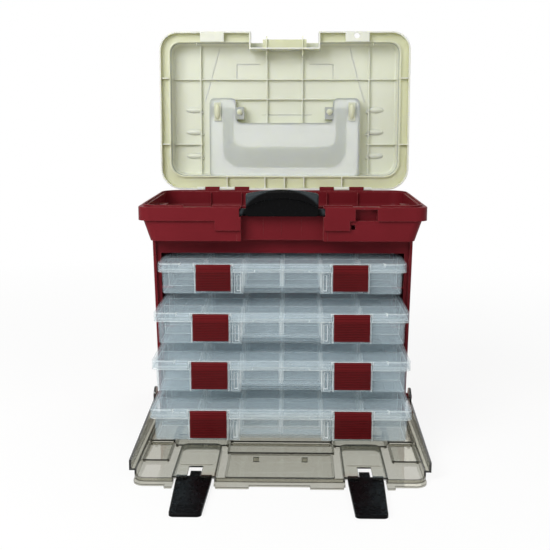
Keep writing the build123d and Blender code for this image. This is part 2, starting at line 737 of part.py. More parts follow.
for side, name in ((-1, "left"), (1, "right")):
    with BuildPart() as handle_pin:
        bar_along_x(pin_low if side > 0 else -pin_high, pin_high if side > 0 else -pin_low,
                    handle_axis_y, handle_axis_z, handle_pin_radius)
    save(handle_pin.part.rotate(lid_axis, -lid_swing), f"handle_pin_{name}")

# Door, drawn open: a shallow tub lying on its outer face, with a curled root edge,
# side skirts that carry the hinge ears, and a cradle for each latch
door_near = hinge_y - door_length
tub_near = hinge_y - door_tub
tub_half = door_half - door_flange
cradle_half = door_latch_width / 2 + cradle_gap
cradle_far = hinge_y - door_latch_pivot + door_latch_length + 3.0
latch_pivot_y = hinge_y - door_latch_pivot
arm_half = door_latch_arm_width / 2 + 2.0


def door_latch_sides():
    """X of the middle of each door latch."""
    return (-door_latch_x, door_latch_x)


with BuildPart() as door:
    with BuildSketch():
        add(rounded_plan(tub_half, door_near, hinge_y, door_corner, 0.5))
        for low, high in ((door_tab_inner, door_latch_x - cradle_half - 2.0),
                          (door_latch_x + cradle_half, door_tab_outer)):
            for side in (-1, 1):
                with Locations((side * (low + high) / 2, hinge_y - door_tab_length + door_tab_width / 2)):
                    RectangleRounded(high - low, door_tab_width, 2.0)
    extrude(amount=door_wall)
    with BuildSketch(Plane.YZ):
        with Locations((hinge_y, hinge_height)):
            Circle(hinge_height)
            Circle(hinge_height - door_wall, mode=Mode.SUBTRACT)
        far = 2 * hinge_height
        with BuildLine():
            Polyline(
                (hinge_y, hinge_height),
                (hinge_y, -far),
                (hinge_y + far * sin(radians(door_curl)), -far),
                (hinge_y + far * sin(radians(door_curl)), hinge_height - far * cos(radians(door_curl))),
                close=True,
            )
        make_face(mode=Mode.INTERSECT)
    extrude(amount=rack_base_half - rack_wall - 2.0, both=True)
    # side walls, and the flanges that carry the skirts with the hinge ears
    skirt_end = tub_near + door_corner - 2
    both_sides(tub_half - door_wall, tub_half, skirt_end, hinge_y, 0, door_flange_height)
    both_sides(tub_half - door_wall, door_half, skirt_end, hinge_y, door_flange_height,
               door_flange_height + door_wall)
    for start in (-door_half, door_half - skirt_thick):
        with BuildSketch(Plane.YZ.offset(start)):
            Polygon(
                (skirt_end, door_flange_height),
                (skirt_end, skirt_tip),
                (hinge_y - door_ear, skirt_root - 1.0),
                (hinge_y, hinge_height),
                (hinge_y + door_ear * 0.9, hinge_height - door_ear * 0.4),
                (hinge_y, door_flange_height),
                align=None,
            )
            with Locations((hinge_y, hinge_height)):
                Circle(door_ear)
        extrude(amount=skirt_thick)
    # lip round the free end
    with BuildSketch():
        add(rounded_plan(tub_half, tub_near, hinge_y - 20, door_corner, 0.5))
        add(rounded_plan(tub_half - door_wall, tub_near + door_wall, hinge_y - 19, door_corner - door_wall,
                         0.5), mode=Mode.SUBTRACT)
        with Locations((0, hinge_y - 20)):
            Rectangle(2 * door_half, 2 * (door_tub - 20 - door_corner - 6), mode=Mode.SUBTRACT)
    extrude(amount=door_lip)
    # terraces that stiffen the window: steps in the middle, behind the cradles and at the sides
    side_reach = tub_half - door_wall / 2
    terraces = (
        (0, 2 * terrace_inner, 24.0, 114.0, terrace_high),
        (0, 2 * terrace_inner + 3, 114.0, 149.0, terrace_mid),
        (0, 2 * terrace_inner - 2, 149.0, 232.0, terrace_low),
        (-(terrace_inner + terrace_outer) / 2, terrace_outer - terrace_inner - 3, 24.0, 88.0, terrace_high),
        ((terrace_inner + terrace_outer) / 2, terrace_outer - terrace_inner - 3, 24.0, 88.0, terrace_high),
        (-(terrace_inner + terrace_outer) / 2, terrace_outer - terrace_inner - 3, 88.0, 121.0, terrace_mid),
        ((terrace_inner + terrace_outer) / 2, terrace_outer - terrace_inner - 3, 88.0, 121.0, terrace_mid),
        (-(side_reach + terrace_outer) / 2, side_reach - terrace_outer, 24.0, 112.0, terrace_high),
        ((side_reach + terrace_outer) / 2, side_reach - terrace_outer, 24.0, 112.0, terrace_high),
        (-(side_reach + terrace_outer) / 2, side_reach - terrace_outer, 112.0, 178.0, terrace_mid),
        ((side_reach + terrace_outer) / 2, side_reach - terrace_outer, 112.0, 178.0, terrace_mid),
    )
    for middle, width, far_reach, near_reach, top in terraces:
        with BuildSketch() as step:
            with Locations((middle, hinge_y - (far_reach + near_reach) / 2)):
                Rectangle(width, near_reach - far_reach)
            fillet(step.vertices().group_by(Axis.Y)[0], 5.0)
        extrude(amount=top)
    for middle, width, far_reach, near_reach, top in terraces:
        with BuildSketch(Plane.XY.offset(-1)) as hollow:
            with Locations((middle, hinge_y - (far_reach + near_reach) / 2 + door_wall / 2)):
                Rectangle(width - 2 * door_wall, near_reach - far_reach - door_wall)
            fillet(hollow.vertices().group_by(Axis.Y)[0], 3.0)
        extrude(amount=top - door_wall + 1, mode=Mode.SUBTRACT)
    bracket_y = hinge_y - bracket_reach
    both_sides(bracket_places[0], bracket_places[1], bracket_y, bracket_y + bracket_thick, terrace_low,
               terrace_low + 6.0)
    # latch cradles: a raised bridge, the bay under it, and the slot that the arm swings through
    for x in door_latch_sides():
        with BuildSketch() as bridge:
            with Locations((x, (tub_near + cradle_far + cradle_wall) / 2)):
                Rectangle(2 * (cradle_half + cradle_wall), cradle_far + cradle_wall - tub_near)
            fillet(bridge.vertices().group_by(Axis.Y)[-1], 12.0)
        extrude(amount=cradle_depth + cradle_wall)
    for x in door_latch_sides():
        with BuildSketch() as bay:
            with Locations((x, (door_near - 12 + cradle_far) / 2)):
                Rectangle(2 * cradle_half, cradle_far - door_near + 12)
            fillet(bay.vertices().group_by(Axis.Y)[-1], 10.0)
        extrude(amount=cradle_depth, mode=Mode.SUBTRACT)
        across(x - arm_half, x + arm_half, door_near - 2, latch_pivot_y + door_latch_arm + 3.0,
               cradle_depth - 0.5, cradle_depth + cradle_wall + 1, Mode.SUBTRACT)
        bar_along_x(x - cradle_half - cradle_wall, x + cradle_half + cradle_wall, latch_pivot_y,
                    door_latch_height, door_latch_pin_radius, Mode.SUBTRACT)
    bar_along_x(-door_half - 1, door_half + 1, hinge_y, hinge_height, door_pin_radius + running_gap,
                Mode.SUBTRACT)
save(door.part, "door")

# Door latches: a tapered pull with a short arm that turns up behind the tray's front wall
for x, name in zip(door_latch_sides(), ("left", "right")):
    tip_y = latch_pivot_y - door_latch_length
    plate_low = door_latch_height - door_latch_thick / 2
    half = door_latch_width / 2
    with BuildPart() as door_latch:
        with BuildSketch(Plane.XY.offset(plate_low)) as pull:
            with BuildLine():
                Polyline(
                    (x - half, latch_pivot_y),
                    (x - half, latch_pivot_y - 12),
                    (x - half + 3.5, tip_y),
                    (x + half - 3.5, tip_y),
                    (x + half, latch_pivot_y - 12),
                    (x + half, latch_pivot_y),
                    close=True,
                )
            make_face()
            fillet(pull.vertices().group_by(Axis.Y)[0], 6.0)
        extrude(amount=door_latch_thick)
        chamfer(door_latch.edges().group_by(Axis.Z)[-1], 0.8)
        bar_along_x(x - half, x + half, latch_pivot_y, door_latch_height, door_latch_knuckle)
        arm_low = door_latch_height - door_latch_arm_drop
        across(x - door_latch_arm_width / 2, x + door_latch_arm_width / 2, latch_pivot_y - 1,
               latch_pivot_y + door_latch_arm, arm_low, arm_low + door_latch_arm_thick)
        for offset in (-door_latch_window, door_latch_window):
            across(x + offset - 3, x + offset + 3, latch_pivot_y - 12, latch_pivot_y - 6, plate_low - 1,
                   plate_low + door_latch_thick + 1, Mode.SUBTRACT)
        for step in range(door_latch_grips):
            rib_y = tip_y + 8 + door_latch_grip_pitch * step
            across(x - 12, x + 12, rib_y, rib_y + 2, plate_low + 1, plate_low + door_latch_thick + 0.7)
        bar_along_x(x - half - 1, x + half + 1, latch_pivot_y, door_latch_height,
                    door_latch_pin_radius + running_gap, Mode.SUBTRACT)
    pivot = Axis((0, latch_pivot_y, door_latch_height), (1, 0, 0))
    save(door_latch.part.rotate(pivot, door_latch_droop), f"door_latch_{name}")
    with BuildPart() as door_latch_pin:
        bar_along_x(x - cradle_half - cradle_wall, x + cradle_half + cradle_wall, latch_pivot_y,
                    door_latch_height, door_latch_pin_radius)
    save(door_latch_pin.part, f"door_latch_pin_{name}")

# Utility boxes, all alike: drawn once with the lid's front at y = 0 and the bottom at z = 0
base_front = box_front_step
base_back = box_depth - box_front_step
base_lean = box_base_top * tan(radians(box_draft))
room_half = box_base_half - base_lean - box_wall
room_front = base_front + base_lean + box_wall
room_back = base_back - base_lean - box_wall
row_pitch = (room_back - room_front + box_wall) / box_rows
row_walls = [room_front - box_wall / 2 + row_pitch * n for n in range(box_rows + 1)]
box_pin_y = box_depth - box_knuckle_radius
box_pin_z = box_base_top - 1.3 - box_knuckle_radius
catch_y = catch_knuckle + 0.2
catch_z = box_height - box_lid_top - catch_knuckle - catch_gap
catch_low = catch_x - catch_width / 2
catch_high = catch_x + catch_width / 2
ridge_z = catch_foot + 5.9


def divider_places(columns):
    """X of each divider in a row with this many compartments."""
    pitch = 2 * room_half / box_columns
    step = box_columns // columns
    return [-room_half + pitch * n for n in range(step, box_columns, step)]


with BuildPart() as box_base:
    with BuildSketch():
        add(rounded_plan(box_base_half - base_lean, base_front + base_lean, base_back - base_lean,
                         box_corner - 2, box_corner - 2))
    extrude(amount=box_base_top, taper=-box_draft)
    fillet(box_base.faces().sort_by(Axis.Z)[0].edges(), box_edge_round)
    with BuildSketch(Plane.XY.offset(box_wall)):
        add(rounded_plan(room_half, room_front, room_back, box_corner - 4, box_corner - 4))
    extrude(amount=box_base_top, taper=-box_draft, mode=Mode.SUBTRACT)
    # rim flange under the lid's skirt, at the front and sides
    with BuildSketch(Plane.XY.offset(box_skirt_z + 1.5)):
        add(rounded_plan(box_width / 2 - box_wall - 0.3, box_wall + 1.3, base_back - 4, box_corner - 2, 1.0))
        add(rounded_plan(box_base_half - 1, base_front + 1, base_back - 1, box_corner - 3, box_corner - 3),
            mode=Mode.SUBTRACT)
        for x in (-catch_x, catch_x):
            with Locations((x, base_front - 10)):
                Rectangle(catch_width + 2 * catch_gap + 7, 20, mode=Mode.SUBTRACT)
    extrude(amount=box_wall)
    # fixed walls between the rows, with pairs of ribs that hold the loose dividers
    for y in row_walls[1:-1]:
        across(-room_half - 1, room_half + 1, y - box_wall / 2, y + box_wall / 2, box_wall / 2,
               box_base_top - 1)
    with BuildSketch(Plane.XY.offset(box_wall / 2)):
        rib_x = divider_thick / 2 + divider_slack + divider_rib / 2
        for y in row_walls:
            for x in divider_places(box_columns):
                with Locations((x - rib_x, y), (x + rib_x, y)):
                    Rectangle(divider_rib, box_wall + 2 * divider_rib)
        add(rounded_plan(room_half + 1, room_front - 1, room_back + 1, box_corner - 3, box_corner - 3),
            mode=Mode.INTERSECT)
    extrude(amount=box_base_top - 4)
    # finger gap under the front, and the step inside that closes it
    foot_half = box_foot_gap / 2
    step_half = foot_half + box_wall
    across(-step_half, step_half, room_front - 1, base_front + box_foot_depth + box_wall, box_wall / 2,
           box_foot_height + box_wall)
    across(-foot_half, foot_half, 0, base_front + box_foot_depth, -1, box_foot_height, Mode.SUBTRACT)
    # a slotted post at each side of the gap
    post_top = box_skirt_z - 0.5
    slot_low = foot_half + (box_post_width - box_post_slot) / 2
    both_sides(foot_half, foot_half + box_post_width, base_front - box_post_proud, base_front + 1.5, 2.0,
               post_top)
    both_sides(slot_low, slot_low + box_post_slot, base_front - box_post_proud - 1,
               base_front - box_post_proud + box_post_slot_depth, 6.0, post_top - 4.0, Mode.SUBTRACT)
    # at each catch: the ridge that it snaps over, and a frame rib at each side
    both_sides(catch_x - 15, catch_x + 15, base_front - 1.8, base_front + 1.5, ridge_z, ridge_z + catch_rib)
    for x in (catch_low - catch_gap - catch_frame, catch_high + catch_gap):
        both_sides(x, x + catch_frame, 1.0, base_front + 1.5, 3.0, box_skirt_z - 0.5)
    # hinge lugs
    for start in (-box_hinge_x - box_hinge_width / 2, box_hinge_x - box_hinge_width / 2):
        bar_along_x(start, start + box_hinge_width, box_pin_y, box_pin_z, box_knuckle_radius - 0.2)
        across(start, start + box_hinge_width, base_back - 1.5, box_pin_y, box_pin_z - 2.0, box_pin_z + 2.0)
        bar_along_x(start, start + box_hinge_width, box_pin_y, box_pin_z, box_pin_radius, Mode.SUBTRACT)

with BuildPart() as box_lid:
    with BuildSketch(Plane.XY.offset(box_skirt_z)):
        add(rounded_plan(box_width / 2, 0, box_depth, box_corner, box_corner))
    extrude(amount=box_lid_skirt)
    with BuildSketch(Plane.XY.offset(box_skirt_z)):
        add(rounded_plan(box_width / 2 - box_wall, box_wall, box_depth - box_wall,
                         box_corner - box_wall, box_corner - box_wall))
    extrude(amount=box_lid_skirt - box_lid_top, mode=Mode.SUBTRACT)
    chamfer(box_lid.faces().sort_by(Axis.Z)[-1].edges(), 0.6)
    # bevel along the front with pointed ends, backed by a matching slope inside
    with BuildSketch(Plane.YZ.offset(-box_bevel_half)):
        Polygon(
            (box_wall / 2, box_height - box_bevel - box_lid_top - 1.0),
            (box_wall / 2, box_height - 1),
            (box_bevel + box_lid_top + 1.0, box_height - 1),
            align=None,
        )
    extrude(amount=2 * box_bevel_half)
    bevel_plane = Plane(origin=(0, box_bevel / 2, box_height - box_bevel / 2), x_dir=(1, 0, 0),
                        z_dir=(0, -1, 1))
    with BuildSketch(bevel_plane):
        Polygon(
            (-box_bevel_half, 0), (-box_bevel_half + 4, box_bevel), (box_bevel_half - 4, box_bevel),
            (box_bevel_half, 0), (box_bevel_half - 4, -box_bevel), (-box_bevel_half + 4, -box_bevel),
            align=None,
        )
    extrude(amount=2 * box_bevel, mode=Mode.SUBTRACT)
    # thumb step at the middle of the front
    across(-box_step_half, box_step_half, -1, 0.7, box_skirt_z - 1, box_skirt_z + 3.5, Mode.SUBTRACT)
    # notches and ears for the catches
    for side in (-1, 1):
        for x in (catch_low - catch_gap - 3.0, catch_high + catch_gap):
            start = x if side > 0 else -x - 3.0
            across(start, start + 3.0, 0.2, 2 * catch_y, box_skirt_z, box_height - box_lid_top / 2)
    both_sides(catch_low - catch_gap, catch_high + catch_gap, -1, catch_y + catch_knuckle + catch_gap,
               box_skirt_z - 1, box_height - box_lid_top, Mode.SUBTRACT)
    for side in (-1, 1):
        start = catch_low - 2.6 if side > 0 else -catch_high - 2.6
        bar_along_x(start, start + catch_width + 5.2, catch_y, catch_z, catch_pin_radius + running_gap,
                    Mode.SUBTRACT)
    # hinge: clear the base's lugs, then add the lid's own ears
    lug_half = box_hinge_width / 2 + 0.4
    both_sides(box_hinge_x - lug_half, box_hinge_x + lug_half, box_pin_y - box_knuckle_radius, box_depth + 1,
               box_skirt_z - 1, box_height - box_lid_top, Mode.SUBTRACT)
    for low in (box_hinge_x - lug_half - 8.0, box_hinge_x + lug_half):
        for start in (low, -low - 8.0):
            bar_along_x(start, start + 8.0, box_pin_y, box_pin_z, box_knuckle_radius - 0.2)
            across(start, start + 8.0, box_pin_y - 1.5, box_depth - 0.5, box_pin_z, box_height - 1)
            bar_along_x(start - 1, start + 9.0, box_pin_y, box_pin_z, box_pin_radius + running_gap,
                        Mode.SUBTRACT)

with BuildPart() as box_hinge_pins:
    pin_length = 2 * (lug_half + 7.5)
    for x in (-box_hinge_x, box_hinge_x):
        bar_along_x(x - pin_length / 2, x + pin_length / 2, box_pin_y, box_pin_z, box_pin_radius)

with BuildPart() as box_dividers:
    with BuildSketch(Plane.XY.offset(box_wall)):
        for row, columns in enumerate(divided_columns):
            low = row_walls[row] + box_wall / 2 + divider_slack
            high = row_walls[row + 1] - box_wall / 2 - divider_slack
            if row == 0:
                low = base_front + box_foot_depth + box_wall + divider_slack
            for x in divider_places(columns):
                with Locations((x, (low + high) / 2)):
                    Rectangle(divider_thick, high - low)
    extrude(amount=box_base_top - divider_top_gap - box_wall)


def box_catch(middle):
    """One catch: a flat pull on two stub pins, with a hook rib behind and grip ridges in front."""
    low = middle - catch_width / 2
    high = middle + catch_width / 2
    with BuildPart() as catch:
        across(low, high, 0.2, 0.2 + catch_thick, catch_foot, catch_z)
        chamfer(catch.edges().group_by(Axis.Z)[0], 0.6)
        bar_along_x(low, high, catch_y, catch_z, catch_knuckle)
        bar_along_x(low - 2.2, high + 2.2, catch_y, catch_z, catch_pin_radius)
        across(low + 8, high - 8, catch_thick, catch_thick + 2.7, ridge_z - 0.3 - catch_rib, ridge_z - 0.3)
        with BuildSketch(Plane.XZ.offset(-0.3)):
            with Locations((middle, catch_foot + 3.0 + catch_ridge_pitch * (catch_ridges - 1) / 2)):
                with GridLocations(0, catch_ridge_pitch, 1, catch_ridges):
                    Rectangle(catch_width - 3.0, catch_ridge_pitch / 2)
        extrude(amount=0.6)
    return catch.part


catches = {"left": box_catch(-catch_x), "right": box_catch(catch_x)}
for n in range(box_count):
    place = Location((0, box_fronts[n], box_tops[n]))
    save(box_base.part.moved(place), f"box_{n + 1}_base")
    save(box_lid.part.moved(place), f"box_{n + 1}_lid")
    save(box_hinge_pins.part.moved(place), f"box_{n + 1}_hinge_pins")
    save(box_dividers.part.moved(place), f"box_{n + 1}_dividers")
    for side, catch in catches.items():
        save(catch.moved(place), f"box_{n + 1}_latch_{side}")
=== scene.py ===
# %% [markdown]
# # A rack tackle box, dressed for its portrait
#
# The solids arrive finished and fixed: a burgundy rack and tray, an ivory lid, four clear utility boxes and a
# smoked door. This script gives every surface the plastic that it is moulded from, adds the fine
# forms that a mould leaves behind, and sets the studio round them.

# %% Load the fixed frame
import json
from math import radians

import bmesh
import bpy
from mathutils import Euler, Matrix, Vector
from mathutils.bvhtree import BVHTree


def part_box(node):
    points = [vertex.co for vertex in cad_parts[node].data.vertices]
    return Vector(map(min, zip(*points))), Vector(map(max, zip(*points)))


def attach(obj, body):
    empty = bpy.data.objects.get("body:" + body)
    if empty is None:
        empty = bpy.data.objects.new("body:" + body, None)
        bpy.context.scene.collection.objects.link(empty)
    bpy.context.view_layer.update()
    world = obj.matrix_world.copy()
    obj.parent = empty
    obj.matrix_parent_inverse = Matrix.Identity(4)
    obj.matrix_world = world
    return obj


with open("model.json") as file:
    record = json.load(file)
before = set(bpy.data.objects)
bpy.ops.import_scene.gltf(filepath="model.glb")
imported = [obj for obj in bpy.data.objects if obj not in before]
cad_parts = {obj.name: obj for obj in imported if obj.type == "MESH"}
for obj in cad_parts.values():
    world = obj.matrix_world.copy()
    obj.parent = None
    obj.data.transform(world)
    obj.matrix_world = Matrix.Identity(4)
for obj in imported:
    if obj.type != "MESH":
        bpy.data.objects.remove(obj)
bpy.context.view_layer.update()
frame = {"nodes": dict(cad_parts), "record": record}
nodes = frame["nodes"]
MM = 0.001

# %% [markdown]
# ## Colours and nodes
#
# A listed colour is an sRGB value, and a shader wants linear light, so one function turns every hex value.
# Another adds a shader node with its settings and its links, which keeps each material short enough to read
# as a recipe. Patterns are sized in millimetres, and a third function turns a size into the scale that a
# noise node asks for.


# %% Helpers for materials
def tint(code):
    """The linear colour of an sRGB hex value."""
    channels = [int(code[i:i + 2], 16) / 255 for i in (1, 3, 5)]
    return [c / 12.92 if c <= 0.04045 else ((c + 0.055) / 1.055) ** 2.4 for c in channels] + [1.0]


def add(tree, kind, inputs=(), **settings):
    """Adds a shader node; inputs are its sockets' values or links, settings its own properties."""
    made = tree.nodes.new("ShaderNode" + kind)
    for name, value in settings.items():
        setattr(made, name, value)
    for socket, value in dict(inputs).items():
        if isinstance(value, bpy.types.NodeSocket):
            tree.links.new(value, made.inputs[socket])
        else:
            made.inputs[socket].default_value = value
    return made


def new_material(name):
    """An empty node material, and the tree to build it in."""
    material = bpy.data.materials.new(name)
    material.use_nodes = True
    material.node_tree.nodes.clear()
    return material, material.node_tree


def per(size_mm):
    """The scale of a pattern on Object coordinates whose features are this many millimetres."""
    return 1 / (size_mm * MM)


print("a 60 mm cloud has the scale", round(per(60), 1))

# %% [markdown]
# ## Edges
#
# A mould can't have a truly sharp edge, but the solids do. Bevelling the solids would change them, so the
# Bevel node rounds their edges in the shading alone. Where its rounded normal turns away from the face's own
# normal, the surface is near an edge. The share by which it turns makes a mask, and each plastic uses it in
# its own way: rubbed pale with a painted highlight on the burgundy, dark on the smoked door, milky with a
# painted white highlight on the clear boxes.


# %% Rounded edges and a mask of them
def edges_of(tree, radius_mm, flat, turned, rays, both_ways=False):
    """The rounded normal, and a mask that is 0 on flat faces and 1 at an edge.

    flat and turned are the cosines of the turn at which the mask starts and is full. A see-through wall
    is also met from inside, where the cosine may be negative, so it is measured both ways.
    """
    rounded = add(tree, "Bevel", {"Radius": radius_mm * MM}, samples=rays).outputs["Normal"]
    face = add(tree, "NewGeometry").outputs["Normal"]
    turn = add(tree, "VectorMath", {0: rounded, 1: face}, operation="DOT_PRODUCT").outputs["Value"]
    if both_ways:
        turn = add(tree, "Math", {0: turn}, operation="ABSOLUTE").outputs[0]
    mask = add(tree, "MapRange", {"Value": turn, "From Min": flat, "From Max": turned}).outputs["Result"]
    return rounded, mask


print("edge mask ready")

# %% [markdown]
# ## Moulded plastics that light doesn't pass
#
# The rack and the tray are injection moulded polypropylene with the colour mixed into the pellets, and the
# latches are ABS. The steel mould was lightly sparked, so the surface is satin with a fine grain, and slow
# cooling leaves broad, faint changes of gloss and colour where the plastic flowed. Two noises give the clouds
# and the scuffing, and a third one the grain. Handling rubs the edges pale in patches, and the pale edge
# colour is also a painted highlight along them.

# %% Opaque moulded plastics
PLASTIC_IOR = 1.49      # of polypropylene, and near enough of ABS
CLOUD_MM = 60           # clouds of colour where the plastic flowed
SCUFF_MM = 7            # patches of scuffing and of uneven gloss
GRAIN_MM = 1.1          # sparked grain, drawn coarser than the real tenth of a millimetre so that it shows
RUB_AND_HIGHLIGHT_LEAST = 0.10        # how much of the worn and painted highlight colour an edge gets, between its patches and in them
RUB_AND_HIGHLIGHT_MOST = 0.75


def moulded(name, pale, deep, worn_and_highlight, roughness, shine, edge_mm, grain_depth=0.03, gloss_change=0.08):
    """Opaque moulded plastic: two near colours in clouds, scuffed edges with a painted highlight, uneven
    gloss, a sparked grain.
    """
    material, tree = new_material(name)
    place = add(tree, "TexCoord").outputs["Object"]
    cloud = add(tree, "TexNoise", {"Vector": place, "Scale": per(CLOUD_MM), "Detail": 3.0})
    colour = add(tree, "Mix", {"Factor": cloud.outputs["Fac"], "A": tint(deep), "B": tint(pale)},
                 data_type="RGBA")
    scuff = add(tree, "TexNoise", {"Vector": place, "Scale": per(SCUFF_MM), "Detail": 4.0, "Roughness": 0.65})
    gloss = add(tree, "MapRange", {"Value": scuff.outputs["Fac"], "From Min": 0.3, "From Max": 0.7,
                                   "To Min": roughness - gloss_change, "To Max": roughness + gloss_change})
    rounded, edge = edges_of(tree, edge_mm, 0.97, 0.80, rays=6)
    patchy = add(tree, "MapRange", {"Value": scuff.outputs["Fac"], "From Min": 0.42, "From Max": 0.62,
                                    "To Min": RUB_AND_HIGHLIGHT_LEAST, "To Max": RUB_AND_HIGHLIGHT_MOST})
    # the pale edge colour is partly rubbed wear and partly a painted highlight
    wear_and_highlight = add(tree, "Math", {0: edge, 1: patchy.outputs["Result"]}, operation="MULTIPLY")
    rubbed_and_highlit = add(tree, "Mix", {"Factor": wear_and_highlight.outputs[0], "A": colour.outputs["Result"], "B": tint(worn_and_highlight)},
                 data_type="RGBA")
    grain = add(tree, "TexNoise", {"Vector": place, "Scale": per(GRAIN_MM), "Detail": 2.0})
    bump = add(tree, "Bump", {"Height": grain.outputs["Fac"], "Strength": 0.5, "Distance": grain_depth * MM,
                              "Normal": rounded})
    shader = add(tree, "BsdfPrincipled", {
        "Base Color": rubbed_and_highlit.outputs["Result"], "Roughness": gloss.outputs["Result"],
        "Normal": bump.outputs["Normal"], "IOR": PLASTIC_IOR, "Specular IOR Level": shine})
    add(tree, "OutputMaterial", {"Surface": shader.outputs["BSDF"]})
    return material, tree, shader, rubbed_and_highlit


burgundy, *_ = moulded("moulded_polypropylene_burgundy", "#701C24", "#5E151B", "#B8706C",
                       roughness=0.42, shine=0.08, edge_mm=1.0)
black, *_ = moulded("moulded_abs_black", "#0A0A0B", "#070708", "#26282A",
                    roughness=0.26, shine=0.06, edge_mm=0.8, grain_depth=0.004, gloss_change=0.04)
print("opaque plastics:", burgundy.name, black.name)

# %% [markdown]
# ## The catches' plastic
#
# The catches are the same red polypropylene in a deeper batch. Their fine grip ridges stand 2.4 mm apart, and
# shade falls between them, so painted shade darkens the colour where the surface is closed in. The ambient
# occlusion node measures that: it is 1 in the open and falls in a groove.

# %% The catches' plastic
GROOVE_MM = 2.4         # how far the node looks for other faces
GROOVE_SHADE = 0.12     # the share of the colour that the painted shade leaves deep in a groove
dark_red, tree, shader, rubbed_and_highlit = moulded("moulded_polypropylene_dark_red", "#671217", "#570D11", "#8E2A2E",
                                         roughness=0.34, shine=0.10, edge_mm=0.3, grain_depth=0.01)
# painted shade: the colour is darkened in the grooves, where the surface is closed in
closed_in = add(tree, "AmbientOcclusion", {"Distance": GROOVE_MM * MM}, samples=6)
painted_groove_shade = add(tree, "MapRange", {"Value": closed_in.outputs["AO"], "From Min": 0.50, "From Max": 0.98,
                                    "To Min": GROOVE_SHADE, "To Max": 1.0})
shaded = add(tree, "VectorMath", {0: rubbed_and_highlit.outputs["Result"], "Scale": painted_groove_shade.outputs["Result"]},
             operation="SCALE")
tree.links.new(shaded.outputs["Vector"], shader.inputs["Base Color"])
print("the catches:", dark_red.name)

# %% [markdown]
# ## The centre latch's plastic
#
# The centre latch has an arched grip. Outside the arch its glossy face mirrors the room, and that reflection
# is painted: it gets a plastic of its own, the same black, greyed outside an ellipse that follows the arch as
# a painted reflection. A Mapping node squeezes that ellipse into a circle of radius 1, so the distance from
# its middle says which side of the arch a point is on.

# %% The centre latch's plastic
ARCH_Z = 318.0          # height of the arch's springing
ARCH_HALF = 58.0        # half its span
ARCH_RISE = 44.0        # its rise
latch_black, tree, shader, rubbed_and_highlit = moulded("moulded_abs_black_painted_reflection", "#0A0A0B", "#070708", "#141516",
                                            roughness=0.26, shine=0.06, edge_mm=1.2, grain_depth=0.004,
                                            gloss_change=0.04)
place = add(tree, "TexCoord").outputs["Object"]
arch = add(tree, "Mapping", {"Vector": place, "Location": (0.0, 0.0, -ARCH_Z / ARCH_RISE),
                             "Scale": (per(ARCH_HALF), 0.0, per(ARCH_RISE))})
out = add(tree, "VectorMath", {0: arch.outputs["Vector"]}, operation="LENGTH")
above = add(tree, "MapRange", {"Value": out.outputs["Value"], "From Min": 1.0, "From Max": 1.06})
# painted reflection: the black is greyed outside the arch
painted_reflection = add(tree, "Mix", {"Factor": above.outputs["Result"], "A": rubbed_and_highlit.outputs["Result"],
                           "B": tint("#343A3D")}, data_type="RGBA")
tree.links.new(painted_reflection.outputs["Result"], shader.inputs["Base Color"])
print("the centre latch:", latch_black.name)

# %% [markdown]
# ## Ivory polypropylene
#
# Unpigmented polypropylene is milky, and this lid has only a little white in it. Light enters the
# 2.5 mm wall, scatters and leaves again. Subsurface scattering with a path of a few millimetres does that.
# Where walls stand close together, light passes through more plastic before it gets out, and the lid looks
# yellower. That light and shade is painted into the colour: the painted tint follows how far back in the lid
# a point lies: the rim, the channel behind it, the handle's tub, then the crown's inner face, yellower and
# darker in the channel and paler in the tub. The tub's wall is the thinnest, and the handle behind it shows
# as a soft shadow, so there the plastic also lets part of the view through.

# %% The lid's plastic
LID_AXIS_Z = 341.0      # height of the lid's hinge axis
LID_LEAN = 0.0436       # the open lid leans back by this share of its height
RIM_DEPTH = 115.0       # how far back the open lid's rim lies
CROWN_DEPTH = 160.0     # and the inside of its crown
TUB_FRONT = 130.2       # the tub's wall lies between these depths
TUB_BACK = 134.9
TUB_COVER = 0.55        # how much of what is behind that wall it hides
# painted light and shade by depth: yellower and darker where walls stand close, paler in the tub
PAINTED_DEPTH_TINTS = ((0.00, "#DCDED4"), (0.13, "#D9DBD0"), (0.20, "#D0D2B9"), (0.27, "#CCCEB2"), (0.34, "#DAE0DA"),
               (0.42, "#DAE0DA"), (0.55, "#D5D7C6"), (0.82, "#D3D6CA"), (1.00, "#D3D6CC"))
ivory, tree = new_material("moulded_polypropylene_ivory")
place = add(tree, "TexCoord").outputs["Object"]
axes = add(tree, "SeparateXYZ", {"Vector": place})
height = add(tree, "Math", {0: axes.outputs["Z"], 1: LID_AXIS_Z * MM}, operation="SUBTRACT")
lean = add(tree, "Math", {0: height.outputs[0], 1: LID_LEAN}, operation="MULTIPLY")
depth = add(tree, "Math", {0: axes.outputs["Y"], 1: lean.outputs[0]}, operation="SUBTRACT").outputs[0]
along = add(tree, "MapRange", {"Value": depth, "From Min": RIM_DEPTH * MM, "From Max": CROWN_DEPTH * MM})
painted_depth_ramp = add(tree, "ValToRGB", {"Fac": along.outputs["Result"]})
stops = painted_depth_ramp.color_ramp.elements
while len(stops) < len(PAINTED_DEPTH_TINTS):
    stops.new(0.5)
for stop, (spot, code) in zip(stops, PAINTED_DEPTH_TINTS):
    stop.position = spot
    stop.color = tint(code)
cloud = add(tree, "TexNoise", {"Vector": place, "Scale": per(80), "Detail": 3.0})
milk = add(tree, "MapRange", {"Value": cloud.outputs["Fac"], "To Min": 0.94, "To Max": 1.04})
shade = add(tree, "VectorMath", {0: painted_depth_ramp.outputs["Color"], "Scale": milk.outputs["Result"]},
            operation="SCALE")
rounded = add(tree, "Bevel", {"Radius": 0.8 * MM}, samples=4)
grain = add(tree, "TexNoise", {"Vector": place, "Scale": per(1.3), "Detail": 2.0})
